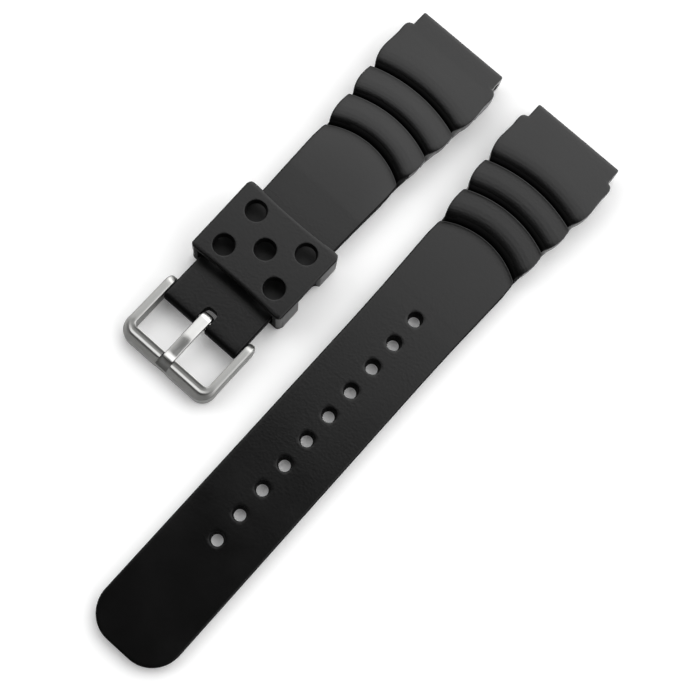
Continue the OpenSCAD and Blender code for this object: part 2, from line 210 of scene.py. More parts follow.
def top_line():
    """Distances and heights of the upper side, from the tab over the three waves to the flat run.

    The tab's end is |s / r|^p + |z / r|^p = 1 about a point r inside its corner. At a distance d behind an
    edge the surface lies bead * e^(-d / run) over the ridge. The edge itself is a quarter circle.
    """
    angle = np.linspace(0, np.pi / 2, 11)
    turn_in = np.linspace(0, np.pi / 2, 5)
    before, drop = falling_crown()
    s = [TAB_ROUND * (1 - np.abs(np.cos(angle)) ** (2 / TAB_POWER)), [TAB_LEN]]
    z = [BLOCK_T - TAB_ROUND * (1 - np.sin(angle) ** (2 / TAB_POWER)), [BLOCK_T]]
    for edge, ridge, after in zip(EDGES, RIDGES, RIDGES[1:]):
        s += [edge - GROOVE_W - before, [edge - GROOVE_W, edge - GROOVE_FOOT]]
        z += [ridge - drop, [ridge - GROOVE_LIP, ridge - GROOVE_D]]
        s += [edge + CRISP * (1 - np.cos(turn_in)), edge + CRISP + BEAD_AT]
        z += [after + BEAD - CRISP * (1 - np.sin(turn_in)), after + BEAD * np.exp(-BEAD_AT / BEAD_RUN)]
    return np.concatenate(s), np.concatenate(z)


top_s, top_z = top_line()
print("upper side of the waves:", len(top_s), "points")

# %% Underside of the waves
UNDER_EDGES = (9.0, 16.6, 24.15, 31.8)
UNDER_DEPTHS = (2.0, 2.0, 1.9, 0.8)
UNDER_RUN = 3.35


def falling_arc(length, depth, count=12):
    """An arc that starts level and drops by depth: its radius is (length^2 + depth^2) / (2 depth)."""
    radius = (length ** 2 + depth ** 2) / (2 * depth)
    angle = np.linspace(0, np.arcsin(length / radius), count)
    return radius * np.sin(angle), radius * (1 - np.cos(angle))


def under_line():
    """Distances and heights of the underside: level, a steep step up at each edge, and an arc back down."""
    angle = np.linspace(0, np.pi / 2, 9)
    s = [TAB_ROUND * (1 - np.cos(angle))]
    z = [TAB_ROUND * (1 - np.sin(angle))]
    for edge, depth in zip(UNDER_EDGES, UNDER_DEPTHS):
        run, drop = falling_arc(UNDER_RUN, depth)
        s += [[edge - GROOVE_FOOT, edge], edge + GROOVE_W + UNDER_RUN - run[::-1]]
        z += [[0.0, depth], drop[::-1]]
    return np.concatenate(s), np.concatenate(z)


under_s, under_z = under_line()
print("underside of the waves:", len(under_s), "points")

# %% [markdown]
# ## The outline of the waves
# Seen from above, each wave bulges at its sides like a scallop, and a lower layer shows past it round each
# groove. Both are half-widths along the strap: parabolas for the scallops, straight lines between the
# points of the rest. A scallop is its middle, its peak, its bend, and where it starts and ends.

# %% Outline of the waves
FLAT_HALF = 9.75
SCALLOPS = ((9.5, 12.5, 0.057, 8.2, 14.9), (17.15, 11.75, 0.0575, 15.4, 22.4),
    (24.8, 10.95, 0.05, 22.95, 29.95))
TAB_SIDE = ((0, 10.8), (0.25, 10.96), (0.6, 11), (3.9, 11), (4.0, 11.35), (4.2, 11.85), (4.5, 12.15),
    (4.9, 12.35), (5.4, 12.4), (6.8, 12.3))
RUN_SIDE = ((30.5, 10.05), (31, 10.18), (34, 10.32), (45, 10.08), (53, 9.86), (62, FLAT_HALF))
LOWER_SIDE = ((0, 10.8), (0.25, 10.96), (0.6, 11), (3.9, 11), (4.0, 11.35), (4.2, 11.8), (4.5, 12.1),
    (5.4, 12.25), (8.8, 12.05), (9.1, 11.45), (12.5, 11.5), (15.2, 11.2), (16.3, 11.15), (16.7, 10.7),
    (20, 10.9), (22.6, 10.55), (23.9, 10.5), (24.3, 10.0), (28, 10.2), (30.2, 10.0), (31.6, 9.95), (32, 9.9),
    (36, 10.15), (53, 9.65))


def scallop_side():
    """Half-widths of the upper layer: width = peak - bend * (s - middle)^2 in each scallop."""
    table = [np.array(TAB_SIDE)]
    for middle, peak, bend, first, last in SCALLOPS:
        s = np.linspace(first, last, 15)
        table.append(np.stack([s, peak - bend * (s - middle) ** 2], axis=-1))
    table.append(np.array(RUN_SIDE))
    return np.concatenate(table)


upper_side = scallop_side()
lower_side = np.array(LOWER_SIDE)
print("widest:", 2 * upper_side[:, 1].max(), "mm")

# %% [markdown]
# ## One section carried along the strap
# A cross-section of the strap is a closed loop: columns over the top, down one side over the two layers,
# back along the underside and up the other side. Carrying it along s gives the whole half as one grid. In
# the waves each row is bent into an arc about one upright axis, because the real grooves are arcs of
# circles that share a middle. The bend fades out at the shoulders and along the flat run.

# %% Section
HOLE_PITCH = 6.67
CELLS = 12
CORE = HOLE_PITCH / 2
OUTER_CELLS = 10
EDGE_R = 0.35
EDGE_SHARE = 0.3
LOW_EDGE = 0.7
MEET_AT = 0.42
SLOPE = 0.28
SLOPE_SHARE = 0.12
LAYERS_T = 2
AXIS_S = 48.0
LAST_R = AXIS_S - EDGES[-1]


def columns(reach):
    """Places across the strap for each row: twelve even cells in the middle, then ten to the row's reach."""
    core = CORE * np.minimum(1, reach / (FLAT_HALF - EDGE_R))
    middle = core * np.linspace(-1, 1, CELLS + 1)
    outward = core + (reach - core) * np.linspace(0, 1, OUTER_CELLS + 1)[1:]
    return np.concatenate([-outward[:, ::-1], middle, outward], axis=1)


def section_rows(*rows):
    """The loop of every row: x across, s along and z up.

    A row is its s, the heights of its top and underside, the half-widths of its upper and lower layer, its
    bend and the outline's outward direction, which turns at the rounded tail. The upper edge is a quarter
    circle of radius r, and the layers meet in a slope. Where the strap is thinner than LAYERS_T, the step
    between them fades. The row's arc adds bend * (R - sqrt(R^2 - x^2)) to s.
    """
    s0, top, under, upper, lower, bend, nx, ns = (row[:, None] for row in rows)
    thick = top - under
    r = np.minimum(EDGE_R, EDGE_SHARE * thick)
    low_r = LOW_EDGE * r
    meet = under + MEET_AT * thick
    slope = np.minimum(SLOPE, SLOPE_SHARE * thick)
    step = (lower - upper) * np.clip(thick / LAYERS_T, 0, 1)
    quarter = np.linspace(0, np.pi / 2, 5)[None, 1:]
    low_quarter = quarter[:, :3]
    out = np.concatenate([r * np.sin(quarter), r, r + step, r + step,
        r + step - low_r * (1 - np.cos(low_quarter))], axis=1)
    up = np.concatenate([top - r * (1 - np.cos(quarter)), meet + slope, meet - slope, under + low_r,
        under + low_r * (1 - np.sin(low_quarter))], axis=1)
    side_x = (upper - r) + out * nx
    side_s = out * ns
    low_out = r + step - low_r
    over = columns(upper - r)
    below = columns(upper - r + low_out * nx)
    flat = np.zeros_like(over)
    x = np.concatenate([over, side_x, below[:, ::-1], -side_x[:, ::-1]], axis=1)
    s = np.concatenate([flat, side_s, flat + low_out * ns, side_s[:, ::-1]], axis=1)
    z = np.concatenate([flat + top, up, flat + under, up[:, ::-1]], axis=1)
    radius = np.maximum(AXIS_S - s0, LAST_R)
    sag = radius - np.sqrt(radius ** 2 - x ** 2)
    return np.stack([x, s + s0 + bend * sag, z], axis=-1)


TOP_COLS = CELLS + 1 + 2 * OUTER_CELLS
SIDE_COLS = 10
LOOP = 2 * (TOP_COLS + SIDE_COLS)
print(LOOP, "points round each row")

# %% Rows of the waves
WAVES_END = 49.5
BEND_FROM = 4.7
BEND_FULL = 9.6
EXACT_END = 49
EVEN_ROWS = np.linspace(0, 49.3, 99)
ROW_CLEAR = 0.12
ROW_LEAST = 0.004


def row_bend(s0):
    """How much a row is bent: not at the shoulder, fully in the waves, fading out before the holes."""
    rise = np.clip((s0 - BEND_FROM) / (BEND_FULL - BEND_FROM), 0, 1)
    fade = np.clip((WAVES_END - s0) / (WAVES_END - EDGES[-1]), 0, 1)
    smooth = fade * fade * (3 - 2 * fade)
    return np.minimum(rise, smooth)


def wave_rows():
    """Rows where the side view or the outline turns, and even rows between them that keep clear of those."""
    exact = np.unique(np.round(np.concatenate([top_s, under_s, upper_side[:, 0]]), 3))
    exact = exact[(exact < EXACT_END) & np.concatenate([[True], np.diff(exact) > ROW_LEAST])]
    clear = np.abs(EVEN_ROWS[:, None] - exact).min(axis=1) > ROW_CLEAR
    return np.sort(np.concatenate([exact, EVEN_ROWS[clear]]))


def zip_end(row):
    """Closes a row's loop with faces between its upper and its lower half."""
    ring = np.roll(row, SIDE_COLS // 2, axis=0)
    return np.stack([ring[:LOOP // 2], ring[LOOP // 2:][::-1]])


WAVE_ROWS = wave_rows()
print(len(WAVE_ROWS), "rows in the lug end")

# %% [markdown]
# ## Holes without a boolean
# A hole cut by a boolean leaves many-sided faces that shade badly. Here a square block of the grid is left
# out and filled with rings: the outer rings go from the square to the hole's rounded rim, the next ones go
# down the tapered wall, and the last ones go out to the square on the far side. A ring of depth d lies at
# (1 - d) * upper surface + d * lower surface, so the same function serves the strap and the keeper.

# %% Rings of a hole
RING_STEPS = 5


def square_ring(half):
    """The border points of a square block, twelve along each side."""
    t = np.arange(4 * CELLS)
    corners = CELLS * np.arange(5)
    return np.stack([np.interp(t, corners, [-half, half, half, -half, -half]),
        np.interp(t, corners, [-half, -half, half, half, -half])], axis=-1)


def round_ring(radius):
    """As many points on a circle, starting at the same corner direction."""
    angle = np.radians(-135) + 2 * np.pi * np.arange(4 * CELLS) / (4 * CELLS)
    return radius * np.stack([np.cos(angle), np.sin(angle)], axis=-1)


def hole_rings(block, wall, rim, thick):
    """Rings and their depths for a round hole in a block, with a wall of (radius, depth) points.

    They go evenly from the block to the rim, round the rim in a quarter circle, down the wall and back.
    """
    turn_in = np.linspace(0, np.pi / 2, RING_STEPS)
    share = np.linspace(0, 1, RING_STEPS)[:, None, None]
    top_r, low_r = wall[0][0], wall[-1][0]
    upper = block + share * (round_ring(top_r + rim) - block)
    rim_r = top_r + rim * (1 - np.sin(turn_in))[1:]
    rim_d = rim * (1 - np.cos(turn_in))[1:] / thick
    wall_r, wall_d = np.array(wall[1:]).T
    radii = np.concatenate([rim_r, wall_r])
    walls = radii[:, None, None] * round_ring(1.0)
    lower = (round_ring(low_r) + share * (block - round_ring(low_r)))[1:]
    depths = np.concatenate([0 * turn_in, rim_d, wall_d, 0 * turn_in[1:] + 1])
    return np.concatenate([upper, walls, lower]), depths


def hole_patch(rings, depths, centres, surface):
    """Copies the rings to every centre and lays them on the two surfaces; returns points and faces."""
    flat = rings[None] + np.asarray(centres, float)[:, None, None, :]
    points = surface(flat[..., 0], flat[..., 1], depths[None, :, None])
    count = len(depths) * 4 * CELLS
    faces = grid_faces(len(depths), 4 * CELLS, wrap_cols=True).reshape(1, -1, 4)
    faces = faces + (count * np.arange(len(centres)))[:, None, None]
    return points, faces


print("each ring has", len(round_ring(1.0)), "points")

# %% [markdown]
# ## The long half
# Past the waves the long half is a flat run, three millimetres thick, with ten tapered adjustment holes. It
# gets a little thinner toward the tail. The tail's corners are large arcs, so its last rows are placed by
# the angle round the corner and their edge rounding follows the outline's own direction.

# %% Rows of the long half
LONG_LEN = 141.6
TAIL_T = 2.65
TIP_R = 6.95
TIP_STEP = 0.1
HOLE_FIRST = 53.2
HOLE_COUNT = 10
PLAIN_ROWS = 12
TIP_ROWS = 25


def long_top(s):
    """Height of the long half's flat run: level to the first hole, then an even taper to the tail."""
    return np.interp(s, [HOLE_FIRST, LONG_LEN], [FLAT_T, TAIL_T])


def long_rows():
    """All rows of the long half for section_rows; round a corner, s and x follow its sine and cosine."""
    holes = HOLE_FIRST - CORE + HOLE_PITCH / CELLS * np.arange(HOLE_COUNT * CELLS + 1)
    plain = np.linspace(holes[-1], LONG_LEN - TIP_R, PLAIN_ROWS)[1:-1]
    corner = np.linspace(0, np.pi / 2, TIP_ROWS)
    s0 = np.concatenate([WAVE_ROWS, holes, plain])
    top = np.where(s0 < WAVES_END, np.interp(s0, top_s, top_z), long_top(s0))
    under = np.interp(s0, under_s, under_z)
    upper = np.interp(s0, *upper_side.T)
    lower = np.interp(s0, *lower_side.T)
    tip_s = LONG_LEN - TIP_R + (TIP_R - EDGE_R) * np.sin(corner)
    tip_x = FLAT_HALF - TIP_R + (TIP_R - EDGE_R) * np.cos(corner) + EDGE_R
    s_all = np.concatenate([s0, tip_s])
    nx = np.concatenate([np.ones_like(s0), np.cos(corner)])
    ns = np.concatenate([np.zeros_like(s0), np.sin(corner)])
    return (s_all, np.concatenate([top, long_top(tip_s)]), np.concatenate([under, 0 * tip_s]),
        np.concatenate([upper, tip_x]), np.concatenate([lower, tip_x - TIP_STEP]), row_bend(s_all), nx, ns)


def tail_cap(last):
    """The tail's blunt end: each level of the last row's side, carried straight across to the other side."""
    over = last[:TOP_COLS]
    right = last[TOP_COLS:TOP_COLS + SIDE_COLS]
    levels = np.concatenate([over[-1:], right, last[TOP_COLS + SIDE_COLS][None]])
    share = over[:, 0] / over[-1, 0]
    cap = np.repeat(levels[:, None], TOP_COLS, axis=1)
    cap[..., 0] = share * levels[:, :1]
    return cap


long_grid = section_rows(*long_rows())
print("long half:", len(long_grid), "rows")

# %% Long half with its holes
HOLE_WALL = ((1.625, 0), (1.525, 0.25), (1.425, 0.5), (1.225, 1))
HOLE_RIM = 0.07
STRAP_SHARP = 35


def strap_surface(x, s, depth):
    """A point of the flat run at a share of its depth: 0 is its upper side and 1 its underside."""
    return np.stack([x + 0 * depth, s + 0 * depth, (1 - depth) * long_top(s)], axis=-1)


def long_half():
    """The long half: its grid without the middle block, ten hole patches, the tail's cap and the lug end."""
    faces = grid_faces(len(long_grid), LOOP, wrap_cols=True)
    first = len(WAVE_ROWS)
    keep = np.ones(faces.shape[:2], dtype=bool)
    for over in (OUTER_CELLS, TOP_COLS + SIDE_COLS + OUTER_CELLS):
        keep[first:first + HOLE_COUNT * CELLS, over:over + CELLS] = False
    rings, depths = hole_rings(square_ring(CORE), HOLE_WALL, HOLE_RIM, FLAT_T)
    centres = np.stack([np.zeros(HOLE_COUNT), HOLE_FIRST + HOLE_PITCH * np.arange(HOLE_COUNT)], axis=-1)
    cap = tail_cap(long_grid[-1])
    end = zip_end(long_grid[0])
    return [(long_grid, faces[keep]), hole_patch(rings, depths, centres, strap_surface),
        (cap, grid_faces(*cap.shape[:2])), (end, grid_faces(*end.shape[:2]))]


long_strap = make_piece("long_strap_resin", long_half(), False, STRAP_SHARP)
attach(long_strap, "long_half")
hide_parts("long_strap")

# %% [markdown]
# ## Round bores
# A spring bar runs through each tab, and the buckle's own bar through the end of the short half. These
# bores go in from the flat sides, where a boolean with a fine cylinder leaves a clean edge.

# %% Cutting tools
LUG_BORE = (2.0, BLOCK_T / 2)
LUG_BORE_R = 1.0
BORE_REACH = 14


def circle(centre, radius, count=48):
    """Points of a circle about (a, b)."""
    angle = 2 * np.pi * np.arange(count) / count
    return np.stack([centre[0] + radius * np.cos(angle), centre[1] + radius * np.sin(angle)], axis=-1)


def cutter(outline, low, high, axis, on_short):
    """A prism: the outline's points at two levels along an axis, with four-sided walls and two flat ends."""
    n = len(outline)
    points = np.zeros((2, n, 3))
    points[:, :, axis] = [[low], [high]]
    points[:, :, [a for a in range(3) if a != axis]] = outline
    sides = grid_faces(2, n, wrap_cols=True).reshape(-1, 4).tolist()
    mesh = bpy.data.meshes.new("tool")
    mesh.from_pydata((lay(points.reshape(-1, 3), on_short) * MM).tolist(), [],
        sides + [list(range(n)), list(range(n, 2 * n))])
    close_mesh(mesh)
    return put("tool", mesh)


def cut(piece, outline, low, high, axis, on_short):
    """Takes a prism away from a piece with an exact boolean and keeps the result as the piece's own mesh."""
    tool = cutter(outline, low, high, axis, on_short)
    modifier = piece.modifiers.new("cut", "BOOLEAN")
    modifier.operation = "DIFFERENCE"
    modifier.solver = "EXACT"
    modifier.object = tool
    done = bpy.data.meshes.new_from_object(piece.evaluated_get(bpy.context.evaluated_depsgraph_get()))
    whole, tool_mesh = piece.data, tool.data
    name = whole.name
    piece.modifiers.clear()
    piece.data = done
    bpy.data.objects.remove(tool)
    for used in (whole, tool_mesh):
        bpy.data.meshes.remove(used)
    done.name = name


cut(long_strap, circle(LUG_BORE, LUG_BORE_R), -BORE_REACH, BORE_REACH, 0, False)
finish_mesh(long_strap.data, STRAP_SHARP)

# %% [markdown]
# ## The short half
# The short half has the same waves, but it lies on the keeper's floor, so its underside climbs gently from
# the lug block. Its far end holds the spring bar and has a slot that lets the tongue swing. The end is
# blunt with well rounded edges, a superellipse about the bar's axis, so its last rows follow the angle
# round it. The slot ends in a wide bow, so that the tongue's curled end has room to turn in it.

# %% Rows of the short half
SHORT_LEN = 83.5
LIFT = 1.3
LIFT_FROM = 5.0
LIFT_RUN = 39.5
LIFT_EASE = 0.6
FLAT_ROWS = np.linspace(50, 77, 19)
SLOT_ROWS = np.linspace(78, 81.4, 14)
PIN = (81.7, 2.8)
END_LONG = 1.8
END_HALF = 1.5
END_POWER = 4.5
END_ROWS = 15
NARROW = 0.25
NARROW_FROM = 82.4


def lift_at(s):
    """The climb onto the keeper's floor: lift * (t - ease * sin(2 pi t) / (2 pi)), with t from 0 to 1."""
    t = np.clip((s - LIFT_FROM) / LIFT_RUN, 0, 1)
    return LIFT * (t - LIFT_EASE * np.sin(2 * np.pi * t) / (2 * np.pi))


def short_rows():
    """All rows of the short half; round its end |s / long|^p + |z / half|^p = 1, seen from the bar's axis.

    The last millimetre gets narrower by narrow * (1 - cos(a)), with a from 0 to a right angle.
    """
    angle = np.linspace(0, np.pi / 2, END_ROWS)
    s0 = np.concatenate([WAVE_ROWS, FLAT_ROWS, SLOT_ROWS])
    lift = lift_at(s0)
    top = np.interp(s0, top_s, top_z) + lift
    under = np.interp(s0, under_s, under_z) + lift
    s_all = np.concatenate([s0, PIN[0] + END_LONG * np.sin(angle) ** (2 / END_POWER)])
    height = END_HALF * np.abs(np.cos(angle)) ** (2 / END_POWER)
    height[-1] = 0
    to_end = np.clip((s_all - NARROW_FROM) / (SHORT_LEN - NARROW_FROM), 0, 1)
    narrower = NARROW * (1 - np.cos(to_end * np.pi / 2))
    upper = np.interp(s_all, *upper_side.T) - narrower
    lower = np.interp(s_all, *lower_side.T) - narrower
    return (s_all, np.concatenate([top, PIN[1] + height]), np.concatenate([under, PIN[1] - height]),
        upper, lower, row_bend(s_all), np.ones_like(s_all), np.zeros_like(s_all))


short_grid = section_rows(*short_rows())
print("short half:", len(short_grid), "rows, lifted", LIFT, "mm")

# %% Short half with its bores and slot
PIN_BORE_R = 0.95
SLOT_W = 3.15
SLOT_S = 78.9
SLOT_POWER = 3.0
SLOT_DEEP = (-2, 9)
SLOT_PAST = 2


def short_half():
    """The short half: one grid from the lug end round the far end, where its upper and lower side meet."""
    end = zip_end(short_grid[0])
    faces = grid_faces(len(short_grid), LOOP, wrap_cols=True)
    return [(short_grid, faces), (end, grid_faces(*end.shape[:2]))]


def slot_outline():
    """The tongue's slot from above: straight sides and half a superellipse |x|^p + |s|^p = half^p."""
    half = SLOT_W / 2
    angle = np.linspace(0, np.pi, 33)
    bow_x = half * np.sign(np.cos(angle)) * np.abs(np.cos(angle)) ** (2 / SLOT_POWER)
    bow_s = SLOT_S + half - half * np.abs(np.sin(angle)) ** (2 / SLOT_POWER)
    bow = np.stack([bow_x, bow_s], axis=-1)
    return np.concatenate([bow, [[-half, SHORT_LEN + SLOT_PAST], [half, SHORT_LEN + SLOT_PAST]]])


short_strap = make_piece("short_strap_resin", short_half(), True, STRAP_SHARP)
for centre, radius in ((LUG_BORE, LUG_BORE_R), (PIN, PIN_BORE_R)):
    cut(short_strap, circle(centre, radius), -BORE_REACH, BORE_REACH, 0, True)
cut(short_strap, slot_outline(), *SLOT_DEEP, 2, True)
finish_mesh(short_strap.data, STRAP_SHARP)
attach(short_strap, "short_half")
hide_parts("short_strap")

# %% [markdown]
# ## The keeper
# The keeper is a moulded band: a plate with five holes above, a floor below, and side walls that are cut
# away between two legs. It is drawn as two matching lines, its outer and its inner section, with the same
# path length v along both. Rows along the strap then give the outer skin, the end, the inner skin and the
# other end, so the grid closes like a ring. Holes and side gaps are blocks of rings between the two skins.

# %% Section of the keeper
KEEPER_S = 63.5
KEEPER_LEN = 18.3
KEEPER_H = 8.8
KEEPER_HALF = 12.15
TUNNEL_HALF = 10.15
TUNNEL = (1.2, 7.2)
TUNNEL_R = 0.35
PLATE_STEP = 6.8 / 14
PLATE_COLS = 21
EDGE_TOP = 0.5
EDGE_LOW = 1.5
WALL_COLS = 12
OUT_X = (10.4, 11.0)
OUT_FLOOR_X = 10.2
IN_X = (9.74, 9.77)
IN_FLOOR_X = 9.76


def keeper_section():
    """Half of both sections, from the plate's middle to the floor's middle, and v along the outer one.

    All their corners are quarter circles: a radius times one minus the sine or the cosine of the angle.
    """
    flat = PLATE_STEP * np.arange(PLATE_COLS)
    level = 0 * flat
    quarter = np.linspace(0, np.pi / 2, 6)
    fall, rise = 1 - np.cos(quarter), 1 - np.sin(quarter)
    wall_z = np.linspace(KEEPER_H - EDGE_TOP, EDGE_LOW, WALL_COLS)[1:-1]
    tunnel_z = np.linspace(TUNNEL[1] - TUNNEL_R, TUNNEL[0] + TUNNEL_R, WALL_COLS)[1:-1]
    corner = TUNNEL_R * rise
    out_x = np.concatenate([flat, OUT_X, KEEPER_HALF - EDGE_TOP * rise, 0 * wall_z + KEEPER_HALF,
        KEEPER_HALF - EDGE_LOW * fall, [OUT_FLOOR_X], flat[::-1]])
    out_z = np.concatenate([level + KEEPER_H, [KEEPER_H] * 2, KEEPER_H - EDGE_TOP * fall, wall_z,
        EDGE_LOW * rise, [0], level])
    inner_x = np.concatenate([flat, IN_X, TUNNEL_HALF - corner, 0 * wall_z + TUNNEL_HALF,
        TUNNEL_HALF - corner[::-1], [IN_FLOOR_X], flat[::-1]])
    inner_z = np.concatenate([level + TUNNEL[1], [TUNNEL[1]] * 2, TUNNEL[1] - corner[::-1], tunnel_z,
        TUNNEL[0] + corner, [TUNNEL[0]], level + TUNNEL[0]])
    v = np.concatenate([[0], np.cumsum(np.hypot(np.diff(out_x), np.diff(out_z)))])
    return v, out_x, out_z, inner_x, inner_z


half_v, half_out_x, half_out_z, half_in_x, half_in_z = keeper_section()
print("keeper section:", len(half_v), "points a side, outer path", round(2 * half_v[-1], 1), "mm")

# %% Surface and rows of the keeper
FLARE = 0.15
BOW = 0.4
BOW_FROM = 6
BOW_RUN = 1.2
PLAN_R = 1.0
STRAIGHT = 7.8
NEAR_END = 8.2
ROW_STEP = 0.485
ROWS_OUT = 16
END_R = 0.22
END_DEPTH = 0.14
TURN_ROWS = 6


def keeper_surface(y, v, depth):
    """A point of the keeper's wall: depth 0 is the outer skin, 1 the inner one; v is 0 at the plate's middle.

    The side flares by a share of y and of the height. The plate's ends bow in by bow * (1 - (x / half)^2),
    and the ends' corners are arcs seen from above: radius - sqrt(radius^2 - x^2). Rows past the straight
    stretch spread or close up, so that the last one lies on that end.
    """
    side = np.sign(v)
    at = np.abs(v)
    out_x = np.interp(at, half_v, half_out_x)
    out_z = np.interp(at, half_v, half_out_z)
    half_len = KEEPER_LEN / 2
    share = np.clip(y / half_len, -1, 1)
    high = out_z / KEEPER_H
    flare = np.clip((out_x - FLAT_HALF) / (KEEPER_HALF - FLAT_HALF), 0, 1)
    out_x = out_x + flare * (FLARE * (1 + share) * (1 - high) - FLARE * share * high)
    x = (1 - depth) * out_x + depth * np.interp(at, half_v, half_in_x)
    z = (1 - depth) * out_z + depth * np.interp(at, half_v, half_in_z)
    reach = half_len - BOW * np.clip(1 - (x / FLAT_HALF) ** 2, 0, 1) * np.clip((z - BOW_FROM) / BOW_RUN, 0, 1)
    corner = np.clip(x - (KEEPER_HALF - PLAN_R), 0, PLAN_R)
    reach = reach - (PLAN_R - np.sqrt(PLAN_R ** 2 - corner ** 2))
    beyond = np.clip(np.abs(y) - STRAIGHT, 0, None)
    y = np.clip(y, -STRAIGHT, STRAIGHT) + np.sign(y) * beyond * (reach - STRAIGHT) / (half_len - STRAIGHT)
    return np.stack([side * x, KEEPER_S + y, z], axis=-1)


def keeper_grid():
    """The ring of rows: along the outer skin, round the rounded end, back inside and round the other end."""
    y = ROW_STEP * np.arange(-ROWS_OUT, ROWS_OUT + 1)
    turn_in = np.linspace(0, np.pi / 2, TURN_ROWS)
    end_y = KEEPER_LEN / 2 - END_R * (1 - np.sin(turn_in))
    end_d = END_DEPTH * (1 - np.cos(turn_in))
    turn_y = np.concatenate([[NEAR_END], end_y, [KEEPER_LEN / 2], end_y[::-1], [NEAR_END]])
    turn_d = np.concatenate([[0], end_d, [0.5], 1 - end_d[::-1], [1]])
    rows_y = np.concatenate([y, turn_y, y[::-1], -turn_y])
    rows_d = np.concatenate([0 * y, turn_d, 0 * y + 1, turn_d[::-1]])
    v = np.concatenate([half_v, -half_v[-2:0:-1]])
    return keeper_surface(rows_y[:, None], v[None, :], rows_d[:, None])


keeper_rows = keeper_grid()
print("keeper:", keeper_rows.shape[0], "rows of", keeper_rows.shape[1], "points")

# %% [markdown]
# ## Five holes and two side gaps
# The plate's holes taper like the strap's. A side gap is a rounded rectangle, which the same ring idea
# covers: its border points walk round the block, and the opening's points walk round the rounded rectangle.

# %% Side gaps of the keeper
GAP_HALF = 3.25
GAP_ROWS = 8
GAP_EDGE = 0.35
GAP_CORNER = 0.9
GAP_RIM = 0.25
GAP_STEPS = 3
TINY = 1e-9


def gap_patch(side, first, last):
    """One side gap between two columns of a half section: from the block to the opening, in, and back out.

    The opening keeps straight sides. A point past a corner's middle goes onto a circle about it.
    """
    v = half_v[first:last + 1]
    y = ROW_STEP * np.arange(-GAP_ROWS, GAP_ROWS + 1)
    lines = [np.stack([y, 0 * y + v[0]], -1)[:-1], np.stack([0 * v + y[-1], v], -1)[:-1],
        np.stack([y[::-1], 0 * y + v[-1]], -1)[:-1], np.stack([0 * v + y[0], v[::-1]], -1)[:-1]]
    block = np.concatenate(lines)
    low, high = v[0] + GAP_EDGE, v[-1] - GAP_EDGE
    middle = np.array([0, (low + high) / 2])
    half = np.array([GAP_HALF, (high - low) / 2])
    straight = (block - middle) / [y[-1], (v[-1] - v[0]) / 2] * half
    inner = np.clip(straight, GAP_CORNER - half, half - GAP_CORNER)
    away = straight - inner
    size = np.linalg.norm(away, axis=1, keepdims=True)
    at_corner = (np.abs(away) > TINY).all(axis=1, keepdims=True)
    opening = middle + np.where(at_corner, inner + away / np.maximum(size, TINY) * GAP_CORNER, straight)
    grow = (opening - middle) / half
    wide = opening + grow * GAP_RIM
    turn_in = np.linspace(0, np.pi / 2, 4)[1:]
    share = np.linspace(0, 1, GAP_STEPS)[:, None, None]
    outer = block + share * (wide - block)
    rims = wide - grow * GAP_RIM * np.sin(turn_in)[:, None, None]
    walls = np.repeat(opening[None], 2, axis=0)
    back = opening + share[1:] * (block - opening)
    rings = np.concatenate([outer, rims, walls, back])
    depths = np.concatenate([[0] * GAP_STEPS, END_DEPTH * (1 - np.cos(turn_in)), [0.5, 1],
        [1] * (GAP_STEPS - 1)])
    points = keeper_surface(rings[..., 0], side * rings[..., 1], depths[:, None])
    return points, grid_faces(len(depths), len(block), wrap_cols=True)


print("side gaps:", 2 * GAP_HALF, "mm long, corners of", GAP_CORNER, "mm")

# %% Keeper with its openings
VENTS = ((0, 0), (6.8, 4.85), (6.8, -4.85), (-6.8, 4.85), (-6.8, -4.85))
VENT_WALL = ((2.35, 0), (2.27, 0.33), (2.18, 0.66), (2.1, 1))
VENT_RIM = 0.05
GAP_FIRST = 26
GAP_LAST = len(half_v) - 23
KEEPER_SHARP = 40


def plate_surface(x, y, depth):
    """A point of the keeper's plate, where the path length v is x."""
    return keeper_surface(y, x, depth)


def leave_out(keep, row, count, col, width):
    """Marks a block of cells as open in the outer skin and, the other way round, in the inner skin."""
    inner_first = 2 * ROWS_OUT + 1 + 2 * TURN_ROWS + 3
    out = np.arange(row, row + count)
    back = inner_first + 2 * ROWS_OUT - 1 - out
    across = np.arange(col, col + width) % keep.shape[1]
    keep[np.ix_(out, across)] = False
    keep[np.ix_(back, across)] = False


def keeper_patches():
    """The keeper's ring of rows without its blocks, the five holes and the two side gaps."""
    faces = grid_faces(*keeper_rows.shape[:2], wrap_rows=True, wrap_cols=True)
    keep = np.ones(faces.shape[:2], dtype=bool)
    half_cells = CELLS // 2
    for x, y in VENTS:
        row, col = ROWS_OUT + round(y / ROW_STEP), round(x / PLATE_STEP)
        leave_out(keep, row - half_cells, CELLS, col - half_cells, CELLS)
    for first in (GAP_FIRST, keep.shape[1] - GAP_LAST):
        leave_out(keep, ROWS_OUT - GAP_ROWS, 2 * GAP_ROWS, first, GAP_LAST - GAP_FIRST)
    block = square_ring(1.0) * [PLATE_STEP, ROW_STEP] * half_cells
    rings, depths = hole_rings(block, VENT_WALL, VENT_RIM, KEEPER_H - TUNNEL[1])
    gaps = [gap_patch(side, GAP_FIRST, GAP_LAST) for side in (1, -1)]
    return [(keeper_rows, faces[keep]), hole_patch(rings, depths, VENTS, plate_surface)] + gaps


keeper = make_piece("keeper_resin", keeper_patches(), True, KEEPER_SHARP)
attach(keeper, "keeper")
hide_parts("keeper")

